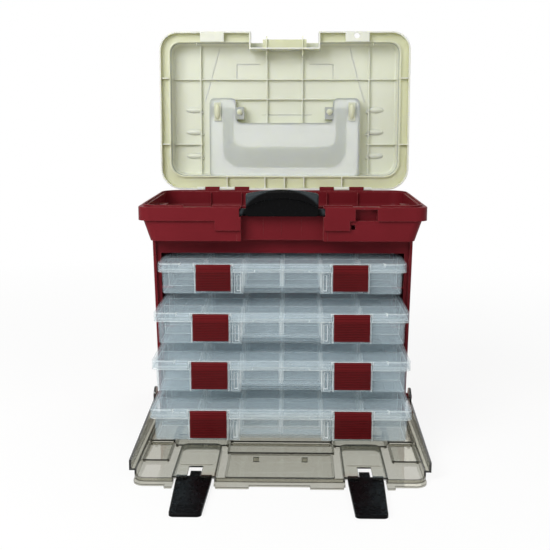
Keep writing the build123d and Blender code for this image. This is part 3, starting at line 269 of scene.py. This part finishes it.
bump = add(tree, "Bump", {"Height": grain.outputs["Fac"], "Strength": 0.4, "Distance": 0.03 * MM,
                          "Normal": rounded.outputs["Normal"]})
thin_from = add(tree, "Math", {0: depth, 1: TUB_FRONT * MM}, operation="GREATER_THAN")
thin_to = add(tree, "Math", {0: depth, 1: TUB_BACK * MM}, operation="LESS_THAN")
thin = add(tree, "Math", {0: thin_from.outputs[0], 1: thin_to.outputs[0]}, operation="MULTIPLY")
cover = add(tree, "MapRange", {"Value": thin.outputs[0], "To Min": 1.0, "To Max": TUB_COVER})
shader = add(tree, "BsdfPrincipled", {
    "Base Color": shade.outputs["Vector"], "Roughness": 0.34, "IOR": PLASTIC_IOR,
    "Alpha": cover.outputs["Result"], "Normal": bump.outputs["Normal"],
    "Subsurface Weight": 0.9, "Subsurface Radius": (1.0, 0.98, 0.75), "Subsurface Scale": 5.0 * MM})
add(tree, "OutputMaterial", {"Surface": shader.outputs["BSDF"]})
print("tints down the lid:", len(PAINTED_DEPTH_TINTS))

# %% [markdown]
# ## Smoked copolymer
#
# The door is a clear copolymer with a brown dye, so it darkens with the plastic's thickness: that is
# absorption in the volume. Its edges, seen end on, are nearly black, and the edge mask draws them. A
# refracting wall stops a lamp's direct light in the renderer, so for shadow rays the door turns into a
# plain tinted film. A slow wave in the surface keeps the reflections from looking like glass.

# %% The smoked door's plastic
smoked, tree = new_material("moulded_copolymer_smoked")
place = add(tree, "TexCoord").outputs["Object"]
flow = add(tree, "TexNoise", {"Vector": place, "Scale": per(45), "Detail": 1.0})
wave = add(tree, "Bump", {"Height": flow.outputs["Fac"], "Strength": 0.5, "Distance": 0.05 * MM})
gloss = add(tree, "MapRange", {"Value": flow.outputs["Fac"], "To Min": 0.02, "To Max": 0.05})
rounded, edge = edges_of(tree, 1.2, 0.98, 0.85, rays=6, both_ways=True)
dark_edge = add(tree, "Mix", {"Factor": edge, "A": tint("#F6F5EC"), "B": tint("#1C1B15")}, data_type="RGBA")
glassy = add(tree, "BsdfPrincipled", {
    "Base Color": dark_edge.outputs["Result"], "Roughness": gloss.outputs["Result"], "IOR": PLASTIC_IOR,
    "Transmission Weight": 0.98, "Normal": wave.outputs["Normal"]})
rays = add(tree, "LightPath")
film = add(tree, "BsdfTransparent", {"Color": tint("#B9B6A8")})
both = add(tree, "MixShader", {0: rays.outputs["Is Shadow Ray"], 1: glassy.outputs["BSDF"],
                               2: film.outputs[0]})
dye = add(tree, "VolumeAbsorption", {"Color": tint("#8D8A72"), "Density": 270.0})
add(tree, "OutputMaterial", {"Surface": both.outputs[0], "Volume": dye.outputs["Volume"]})
print("the door:", smoked.name)

# %% [markdown]
# ## Clear polypropylene
#
# The utility boxes are clarified polypropylene: see-through, but never as clear as glass. Their walls are
# thin and flat and hardly bend the view, so they are a film, not a refracting solid: a bluish milky share
# hides some of what is behind it. There is a little more of it where a wall is seen at a slant, and most
# along every edge, where light that travelled inside the wall comes out white; that white is a painted
# highlight.

# %% The boxes' clear plastic
EDGE_COVER = 0.85       # the extra share that an edge hides, under its painted white highlight
SLANT_COVER = 0.12      # the extra share at a grazing look
clear, tree = new_material("moulded_polypropylene_clear")
place = add(tree, "TexCoord").outputs["Object"]
cloud = add(tree, "TexNoise", {"Vector": place, "Scale": per(40), "Detail": 1.0})
rounded, edge = edges_of(tree, 1.2, 0.99, 0.85, rays=8, both_ways=True)
painted_edge_highlight_share = add(tree, "Math", {0: edge, 1: EDGE_COVER}, operation="MULTIPLY")
# painted highlight: every edge is whitened
tint_and_painted_edge_highlight = add(tree, "Mix", {"Factor": edge, "A": tint("#CCDEE6"), "B": tint("#F8FAF8")}, data_type="RGBA")
glance = add(tree, "LayerWeight", {"Blend": 0.25})
slant = add(tree, "Math", {0: glance.outputs["Fresnel"], 1: SLANT_COVER}, operation="MULTIPLY")
milk = add(tree, "MapRange", {"Value": cloud.outputs["Fac"], "To Min": 0.12, "To Max": 0.19})
some = add(tree, "Math", {0: milk.outputs["Result"], 1: painted_edge_highlight_share.outputs[0]}, operation="ADD")
cover = add(tree, "Math", {0: some.outputs[0], 1: slant.outputs[0]}, operation="ADD", use_clamp=True)
shader = add(tree, "BsdfPrincipled", {
    "Base Color": tint_and_painted_edge_highlight.outputs["Result"], "Roughness": 0.16, "IOR": PLASTIC_IOR,
    "Specular IOR Level": 0.5, "Alpha": cover.outputs[0], "Normal": rounded})
add(tree, "OutputMaterial", {"Surface": shader.outputs["BSDF"]})
print("the boxes:", clear.name)

# %% [markdown]
# ## Drawn steel
#
# The hinge pins are drawn wire, and they all lie across the box. Drawing leaves fine lines along the wire, so
# the roughness changes along thin streaks. A Mapping node stretches the noise: 25 mm long, 0.4 mm wide.

# %% The pins' steel
STREAK_LONG = 25.0
STREAK_WIDE = 0.4
steel, tree = new_material("drawn_steel_wire")
place = add(tree, "TexCoord").outputs["Object"]
streak = add(tree, "Mapping", {"Vector": place, "Scale": (per(STREAK_LONG), per(STREAK_WIDE),
                                                          per(STREAK_WIDE))})
lines = add(tree, "TexNoise", {"Vector": streak.outputs["Vector"], "Scale": 1.0, "Detail": 2.0})
gloss = add(tree, "MapRange", {"Value": lines.outputs["Fac"], "To Min": 0.22, "To Max": 0.42})
shader = add(tree, "BsdfPrincipled", {"Base Color": tint("#B9B9B6"), "Metallic": 1.0,
                                      "Roughness": gloss.outputs["Result"]})
add(tree, "OutputMaterial", {"Surface": shader.outputs["BSDF"]})
print("the pins:", steel.name)

# %% [markdown]
# ## Dressing the nodes
#
# The record says which finish each node has, so one table turns those names into materials. Only the
# centre latch gets another one than the other black pieces.

# %% Give each node its material
plastics = {
    "burgundy_plastic": burgundy, "ivory_plastic": ivory, "handle_plastic": ivory, "black_plastic": black,
    "smoked_plastic": smoked, "clear_plastic": clear, "dark_red_plastic": dark_red, "pin_steel": steel,
}
slot_of = {subpart["node"]: subpart["material_slot"] for subpart in frame["record"]["subparts"]}
for name, node in nodes.items():
    node.data.materials.clear()
    node.data.materials.append(plastics[slot_of[name]])
nodes["centre_latch"].data.materials[0] = latch_black
print("dressed", len(nodes), "nodes")

# %% [markdown]
# ## Small forms
#
# The solids hold the main shapes, and a mould leaves smaller ones: beads, swells, stops and gate marks. Each
# is a low form on a face. One helper lays a rounded block, one lays a flattened dome, and a bead is a
# bevelled curve turned into a mesh. The last one finds the face that a form stands on by sending a line at
# the solid, so that nothing floats. The values that end in FROM are where such lines start, clear of the
# solid.


# %% Helpers for small forms
def block(bm, low, high, edge):
    """Adds a block between two corners, in millimetres, with rounded edges."""
    verts = bmesh.ops.create_cube(bm, size=1.0)["verts"]
    size = Vector(high) - Vector(low)
    bmesh.ops.scale(bm, vec=size * MM, verts=verts)
    bmesh.ops.translate(bm, vec=(Vector(high) + Vector(low)) / 2 * MM, verts=verts)
    edges = list({e for v in verts for e in v.link_edges})
    bmesh.ops.bevel(bm, geom=edges, offset=edge * MM, offset_type="OFFSET", segments=3, profile=0.5,
                    affect="EDGES", material=-1)


def dome(bm, place, half_size, around=24):
    """Adds a flattened ball, in millimetres, of which one half stands out of the face under it."""
    verts = bmesh.ops.create_uvsphere(bm, u_segments=around, v_segments=around // 2, radius=1.0)["verts"]
    bmesh.ops.scale(bm, vec=Vector(half_size) * MM, verts=verts)
    bmesh.ops.translate(bm, vec=Vector(place) * MM, verts=verts)


def keep(name, mesh, body, slot):
    """Links a finished mesh as a piece that rides on a body, in its slot's plastic."""
    mesh.materials.append(plastics[slot])
    piece = bpy.data.objects.new(name, mesh)
    bpy.context.scene.collection.objects.link(piece)
    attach(piece, body)


def piece_of(name, bm, body, slot):
    """Turns a bmesh into a piece, with its faces pointing outwards."""
    bmesh.ops.recalc_face_normals(bm, faces=bm.faces)
    mesh = bpy.data.meshes.new(name)
    bm.to_mesh(mesh)
    bm.free()
    for face in mesh.polygons:
        face.use_smooth = True
    keep(name, mesh, body, slot)


def beads(name, runs, radius, body, slot):
    """Thin round beads along runs of points in millimetres, as one piece."""
    line = bpy.data.curves.new(name, "CURVE")
    line.dimensions = "3D"
    line.bevel_depth = radius * MM
    line.bevel_resolution = 2
    line.use_fill_caps = True
    for points in runs:
        run = line.splines.new("NURBS")
        run.points.add(len(points) - 1)
        for spot, point in zip(run.points, points):
            spot.co = (*(Vector(point) * MM), 1.0)
        run.order_u = 3
        run.use_endpoint_u = True
    holder = bpy.data.objects.new(name, line)
    mesh = bpy.data.meshes.new_from_object(holder)
    bpy.data.objects.remove(holder)
    keep(name, mesh, body, slot)


skins = {}


def touch(node, start, way):
    """Where a line from start, in millimetres, first meets a solid's face."""
    if node not in skins:
        skins[node] = BVHTree.FromObject(nodes[node], bpy.context.evaluated_depsgraph_get())
    hit = skins[node].ray_cast(Vector(start) * MM, Vector(way))[0]
    return hit / MM


print("helpers ready: block, dome, beads, touch")

# %% [markdown]
# ## Inside the lid
#
# The places in the lid are easiest to read on the shut lid: across, the reach forward from the hinge, and the
# height. One function carries such a point to the open lid. The outer panel is stepped, and its steps show
# inside as fine creases, which are thin beads half sunk in the crown. A point given twice makes a bead
# turn a sharp corner there.
#
# The two long beads run past the crown's front wall, so the last 16 mm of each stands free outside it. The
# lid's rim hides that from the photo's camera, but it shows from behind. A reach of 243 in place of 262
# would end them in the wall.

# %% Creases in the lid
LID_HINGE_Y = 119.0     # where the hinge axis is, front to back
LID_UPRIGHT = 0.999     # the share of a reach that is height on the open lid
CROWN = 375.5           # height of the crown's inner face


def on_lid(x, reach, level):
    """A point of the shut lid, carried to its place on the open lid, in millimetres."""
    rise = level - LID_AXIS_Z
    back = LID_HINGE_Y + LID_LEAN * reach + LID_UPRIGHT * rise
    up = LID_AXIS_Z + LID_UPRIGHT * reach - LID_LEAN * rise
    return Vector((x, back, up))


CREASES = (
    ((-106, 262), (-131, 174), (-131, 174), (-139, 148)),
    ((106, 262), (129, 177), (129, 177), (139, 148)),
    ((-83, 188), (-83, 213), (-83, 213), (-43, 213)),
    ((83, 188), (83, 213), (83, 213), (43, 213)),
    ((-40, 127), (47, 127)),
)
CREASE_RADIUS = 0.7
runs = [[on_lid(x, reach, CROWN) for x, reach in crease] for crease in CREASES]
beads("lid_creases", runs, CREASE_RADIUS, "lid", "ivory_plastic")
print("creases:", len(runs))

# %% [markdown]
# Three swells stand on each side, where the mould is cored, each with a small stop beside it, and two more
# stops stand on the outside of the crown's side wall. Round beads end the ribs by the latch. Bosses stand
# on the handle's tub, over the handle's legs and its pivots. All of them are flattened domes.
#
# A dome is as deep behind its face as it is high in front. The crown is 2.5 mm thick, so 1.5 mm of a swell
# and 2 mm of its stop come out on the other side, where they show as ticks when the lid is shut. Half
# depths under 2.5 mm would stay in the wall.

# %% Swells, stops and bosses
SWELL_REACHES, SWELL_X, SWELL = (135.0, 97.0, 56.0), 157.0, (14.5, 4.0, 5.0)
STOP_BEHIND, STOP_X, STOP = 4, 143.5, (3.0, 4.5, 3.2)
WALL_STOP_REACHES, WALL_STOP_X, WALL_STOP_LEVEL, WALL_STOP = (151.0, 112.0), 195.0, 371.0, (2.6, 3.0, 2.6)
RIB_ENDS = ((-30.5, 228.5), (30.5, 229.0), (-150.0, 244.5), (150.0, 244.5))
BEAD_LEVEL, BEAD = 351.5, (1.9, 1.9, 1.9)
BOSS_REACH = 131.0
LEG_X, LEG_LEVEL, LEG_BOSS = 115.0, 350.0, (5.0, 3.4, 13.0)
PIVOT_X, PIVOT_LEVEL, PIVOT_BOSS = 77.0, 352.5, (5.4, 3.6, 5.4)
FEW = 16                # sides of the smallest domes
bm = bmesh.new()
for side in (-1, 1):
    for reach in SWELL_REACHES:
        dome(bm, on_lid(side * SWELL_X, reach, CROWN), SWELL)
        dome(bm, on_lid(side * STOP_X, reach - STOP_BEHIND, CROWN), STOP)
    for reach in WALL_STOP_REACHES:
        dome(bm, on_lid(side * WALL_STOP_X, reach, WALL_STOP_LEVEL), WALL_STOP, FEW)
piece_of("lid_swells", bm, "lid", "ivory_plastic")

bm = bmesh.new()
for x, reach in RIB_ENDS:
    dome(bm, on_lid(x, reach, BEAD_LEVEL), BEAD, FEW)
for side in (-1, 1):
    dome(bm, on_lid(side * LEG_X, BOSS_REACH, LEG_LEVEL), LEG_BOSS)
    dome(bm, on_lid(side * PIVOT_X, BOSS_REACH, PIVOT_LEVEL), PIVOT_BOSS)
piece_of("lid_bosses", bm, "lid", "ivory_plastic")
print("swells and stops: 16, beads and bosses: 8")

# %% [markdown]
# Two fins stiffen the ledge that the centre latch grips. They are laid as blocks on the shut lid and then
# carried to the open one. That swaps two axes, which turns them inside out, and piece_of puts it right.

# %% Fins over the latch ledge
FIN_X, FIN_HALF, FIN_SOFT = 30.5, 0.9, 0.5
FIN_REACH = (226.0, 257.5)
FIN_LEVEL = (345.5, 352.5)
bm = bmesh.new()
for x in (-FIN_X, FIN_X):
    block(bm, (x - FIN_HALF, FIN_REACH[0], FIN_LEVEL[0]), (x + FIN_HALF, FIN_REACH[1], FIN_LEVEL[1]),
          FIN_SOFT)
for vert in bm.verts:
    vert.co = on_lid(*(vert.co / MM)) * MM
piece_of("lid_ledge_fins", bm, "lid", "ivory_plastic")
print("fins from reach", FIN_REACH[0], "to", FIN_REACH[1])

# %% [markdown]
# ## In the latch recess
#
# The mould of the latch recess has sliding blocks, whose joints stand out on the plastic as upright seams.
# Each seam is a thin bead between two points found on the recess's face.

# %% Seams in the latch recess
SEAM_PLACES, SEAM_FROM = (-28.0, -1.5, 28.0), -200.0
SEAM_FOOT, SEAM_HEAD, SEAM_RADIUS = 294.0, 318.0, 0.35
seams = []
for x in SEAM_PLACES:
    ends = (SEAM_FOOT, SEAM_HEAD)
    seams.append([touch("top_tray", (x, SEAM_FROM, level), (0, 1, 0)) for level in ends])
beads("tray_recess_seams", seams, SEAM_RADIUS, "cabinet", "burgundy_plastic")
print("recess seams at y", [round(run[0].y, 1) for run in seams])

# %% [markdown]
# ## On the rack
#
# The rack's back and sides are large flat walls, and a mould maker stiffens such walls: a raised panel with
# ribs on the back, a long rib on each side at every ledge, and a plinth band round the foot. They are
# low enough to clear the door's skirts, which pass beside the front of the walls. The side walls lean
# outwards, so each band is set against the face that a line finds at its own height.

# %% Stiffening on the rack
LEDGE_HEIGHTS = (29.4, 90.9, 152.4, 213.9)
RIB_TALL = 7.0
RIB_PROUD = 1.4
SUNK = 0.8              # how deep a form is sunk in its wall, so that it can't come away
SOFT = 0.9              # rounding of its edges
PLINTH = (1.5, 11.0)    # the plinth's foot and top
BACK_Y = 103.0
PANEL_HALF, PANEL_LOW, PANEL_HIGH, PANEL_PROUD = 168.0, 22.0, 258.0, 1.0
BACK_RIB_HALF, BACK_RIB_LIFT, BACK_RIB_SOFT = 158.0, 12.0, 1.2
PLINTH_HALF = 186.0
bm = bmesh.new()
block(bm, (-PANEL_HALF, BACK_Y - SUNK, PANEL_LOW), (PANEL_HALF, BACK_Y + PANEL_PROUD, PANEL_HIGH), SOFT)
for level in LEDGE_HEIGHTS:
    low = level + BACK_RIB_LIFT
    block(bm, (-BACK_RIB_HALF, BACK_Y, low),
          (BACK_RIB_HALF, BACK_Y + PANEL_PROUD + RIB_PROUD, low + RIB_TALL), BACK_RIB_SOFT)
block(bm, (-PLINTH_HALF, BACK_Y - SUNK, PLINTH[0]), (PLINTH_HALF, BACK_Y + RIB_PROUD, PLINTH[1]), SOFT)
piece_of("rack_back_panel", bm, "cabinet", "burgundy_plastic")
print("ribs on the back:", len(LEDGE_HEIGHTS))

# %% Ribs on the rack's sides
SIDE_FRONT, RIB_BACK, PLINTH_BACK = -78.0, 90.0, 98.0
TOP_RIB_LIFT = 50.0     # one more rib, above the highest ledge
PLINTH_PROBE = 6.0      # the height at which the wall behind the plinth is found
SIDE_FROM = 260.0


def side_band(bm, side, probe, low, high, back):
    """Lays a flat band on one side wall, against the wall's face at the probe's height."""
    wall = abs(touch("rack_body", (side * SIDE_FROM, 0.0, probe), (-side, 0, 0)).x)
    across = sorted((side * (wall - SUNK), side * (wall + RIB_PROUD)))
    block(bm, (across[0], SIDE_FRONT, low), (across[1], back, high), SOFT)
    return wall


for side, name in ((-1, "left"), (1, "right")):
    bm = bmesh.new()
    for level in (*LEDGE_HEIGHTS, LEDGE_HEIGHTS[-1] + TOP_RIB_LIFT):
        side_band(bm, side, level, level - RIB_TALL / 2, level + RIB_TALL / 2, RIB_BACK)
    foot = side_band(bm, side, PLINTH_PROBE, *PLINTH, PLINTH_BACK)
    piece_of(f"rack_side_ribs_{name}", bm, "cabinet", "burgundy_plastic")
print("side wall at the foot:", round(foot, 1), "mm from the middle")

# %% [markdown]
# ## On the tray's rim
#
# The rim's front edge has a low rub strip on each side, on which the shut lid rests.

# %% Rub strips on the tray's rim
RUB_RUNS = ((-123.0, -61.0), (91.0, 143.0))
RUB_FRONT, RUB_PROBE, RUB_BACK, RUB_FROM = -143.6, -142.0, -140.6, 360.0
RUB_SUNK, RUB_PROUD, RUB_SOFT = 0.6, 0.25, 0.25
bm = bmesh.new()
for start, end in RUB_RUNS:
    top = touch("top_tray", ((start + end) / 2, RUB_PROBE, RUB_FROM), (0, 0, -1))
    block(bm, (start, RUB_FRONT, top.z - RUB_SUNK), (end, RUB_BACK, top.z + RUB_PROUD), RUB_SOFT)
piece_of("tray_rub_strips", bm, "cabinet", "burgundy_plastic")
print("rim top at", round(top.z, 1))

# %% [markdown]
# ## On the door
#
# The door's lip is doubled between the latches, and a bar stiffens the floor of each latch's cradle. In
# clear plastic such forms show as dark lines, because light is bent away in them, so both are round
# beads. Their points are found on the door's faces.

# %% Door beads
LIP_HALF, LIP_LEVEL, LIP_FROM, LIP_SUNK, LIP_RADIUS = 46.0, 3.0, -420.0, 0.4, 1.1
CRADLE_X, BAR_Y, BAR_FROM, BAR_RADIUS = 111.0, -309.0, 40.0, 0.8
BAR_STEPS = (-21.0, -7.0, 7.0, 21.0)
sunk = Vector((0, LIP_SUNK, 0))
lip = [touch("door", (x, LIP_FROM, LIP_LEVEL), (0, 1, 0)) + sunk for x in (-LIP_HALF, 0, LIP_HALF)]
bars = []
for x in (-CRADLE_X, CRADLE_X):
    bars.append([touch("door", (x + step, BAR_Y, BAR_FROM), (0, 0, -1)) for step in BAR_STEPS])
beads("door_lip_bead", [lip], LIP_RADIUS, "door", "smoked_plastic")
beads("door_cradle_bars", bars, BAR_RADIUS, "door", "smoked_plastic")
print("door lip at y", round(lip[1].y, 1), "bars at z", [round(point.z, 1) for point in bars[0]])

# %% [markdown]
# ## On the utility boxes
#
# Each catch has a thumb lip near its top, which catches the light. It sits low enough to clear the box's lid
# when the catch swings up. Each box lid keeps the mark of its gate, where the plastic flowed in.

# %% Thumb lips and gate marks
THUMB_TALL = 2.6
THUMB_DROP = 3.4        # from the catch's top to the lip's
THUMB_INSET = 2.5       # from the catch's sides
THUMB_PROUD, THUMB_SUNK, THUMB_SOFT = 0.6, 0.5, 0.45
THUMB_FROM = 20.0       # in front of the catch
GATE_FROM_BACK, GATE_SUNK, GATE = 46.0, 0.1, (3.4, 2.6, 0.9)
for number in range(1, 5):
    for side in ("left", "right"):
        catch = f"box_{number}_latch_{side}"
        low, high = (Vector(corner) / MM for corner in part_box(catch))
        bm = bmesh.new()
        top = high.z - THUMB_DROP
        middle = ((low.x + high.x) / 2, low.y - THUMB_FROM, top - THUMB_TALL / 2)
        face = touch(catch, middle, (0, 1, 0))
        block(bm, (low.x + THUMB_INSET, face.y - THUMB_PROUD, top - THUMB_TALL),
              (high.x - THUMB_INSET, face.y + THUMB_SUNK, top), THUMB_SOFT)
        piece_of(f"{catch}_thumb_lip", bm, catch, "dark_red_plastic")
    low, high = (Vector(corner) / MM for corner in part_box(f"box_{number}_lid"))
    bm = bmesh.new()
    dome(bm, (0.0, high.y - GATE_FROM_BACK, high.z - GATE_SUNK), GATE)
    piece_of(f"box_{number}_gate_mark", bm, f"box_{number}", "clear_plastic")
print("thumb lips: 8, gate marks: 4")

# %% [markdown]
# ## The studio
#
# The photo has a plain white ground. Here that is a pale floor that the camera sees as nearly white, with a
# little of its own shading kept near the object so that it stands on something, and a white world. Gloss
# and see-through plastic must show that white too, so the Light Path node picks the rays that look, and
# leaves those that light: for them the floor is matt paper and the world is a plain grey.


# %% Floor and world
WORLD_LIGHT = 0.38      # the world's strength as a lamp; as a background it is 1
FLOOR_NEAR = 0.85       # how white the floor is made by the object, and from 1.6 m away
FLOOR_FAR = 1.0


def looking(tree):
    """1 for rays that the camera, gloss or see-through plastic sends out, 0 for those that bring light."""
    rays = add(tree, "LightPath").outputs
    first = add(tree, "Math", {0: rays["Is Camera Ray"], 1: rays["Is Glossy Ray"]}, operation="ADD")
    every = add(tree, "Math", {0: first.outputs[0], 1: rays["Is Transmission Ray"]}, operation="ADD",
                use_clamp=True)
    return every.outputs[0]


bm = bmesh.new()
bmesh.ops.create_grid(bm, x_segments=1, y_segments=1, size=12)
floor_mesh = bpy.data.meshes.new("studio_floor")
bm.to_mesh(floor_mesh)
bm.free()
floor = bpy.data.objects.new("studio_floor", floor_mesh)
bpy.context.scene.collection.objects.link(floor)
paper, tree = new_material("studio_paper_white")
place = add(tree, "TexCoord").outputs["Object"]
away = add(tree, "VectorMath", {0: place}, operation="LENGTH")
fade = add(tree, "MapRange", {"Value": away.outputs["Value"], "From Min": 0.5, "From Max": 1.6,
                              "To Min": FLOOR_NEAR, "To Max": FLOOR_FAR})
share = add(tree, "Math", {0: looking(tree), 1: fade.outputs["Result"]}, operation="MULTIPLY")
matt = add(tree, "BsdfDiffuse", {"Color": tint("#F4F4F2")})
white = add(tree, "Emission", {"Color": (1, 1, 1, 1), "Strength": 1.0})
both = add(tree, "MixShader", {0: share.outputs[0], 1: matt.outputs[0], 2: white.outputs[0]})
add(tree, "OutputMaterial", {"Surface": both.outputs[0]})
floor_mesh.materials.append(paper)

world = bpy.data.worlds.new("studio_world")
bpy.context.scene.world = world
world.use_nodes = True
tree = world.node_tree
tree.nodes.clear()
level = add(tree, "MapRange", {"Value": looking(tree), "To Min": WORLD_LIGHT, "To Max": 1.0})
sky = add(tree, "Background", {"Color": (1, 1, 1, 1), "Strength": level.outputs["Result"]})
add(tree, "OutputWorld", {"Surface": sky.outputs[0]})
print("world light:", WORLD_LIGHT)

# %% [markdown]
# The lamps are three large squares, so their shadows are soft: the key at the front left, a weak fill at the
# front right, and one behind that only the back views need. The door faces up and would mirror that last
# one as a hard white square, so glossy rays pass it by.


# %% Lamps
def softbox(name, place, size, power):
    """A square area lamp that looks at the middle of the object."""
    lamp = bpy.data.lights.new(name, "AREA")
    lamp.shape = "SQUARE"
    lamp.size = size
    lamp.energy = power
    holder = bpy.data.objects.new(name, lamp)
    holder.location = place
    holder.rotation_euler = (MIDDLE - Vector(place)).to_track_quat("-Z", "Y").to_euler()
    bpy.context.scene.collection.objects.link(holder)
    return holder


MIDDLE = Vector((0.0, -0.1, 0.3))
softbox("key_softbox", (-0.85, -1.25, 1.25), 1.0, 25)
softbox("fill_softbox", (1.2, -1.7, 1.8), 1.4, 7)
softbox("back_softbox", (0.7, 1.9, 1.5), 1.4, 20).visible_glossy = False

# %% [markdown]
# ## The camera
#
# Its place comes from the photo itself: the four utility boxes are all the same width, so their apparent
# widths, with the rim, the lid and the door, fix the distance, the lens and the tilt. Light has to get
# through four boxes and a door, so the see-through plastics are given more bounces than usual.

# %% Camera
PHOTO_SIDE = 550
FOCAL_PX = 927.0
CAMERA_MM = (18.7, -1477.2, 477.9)
TILT, TURN = 79.794, 1.247
lens = bpy.data.cameras.new("photo_camera")
lens.sensor_width = 36.0
lens.lens = FOCAL_PX / PHOTO_SIDE * lens.sensor_width
camera = bpy.data.objects.new("photo_camera", lens)
camera.location = Vector(CAMERA_MM) * MM
camera.rotation_euler = Euler((radians(TILT), 0.0, radians(TURN)))
bpy.context.scene.collection.objects.link(camera)
scene = bpy.context.scene
scene.camera = camera
scene.view_settings.view_transform = "Standard"
scene.cycles.max_bounces = 24
scene.cycles.transmission_bounces = 24
scene.cycles.transparent_max_bounces = 32
print("lens", round(lens.lens, 2), "mm")
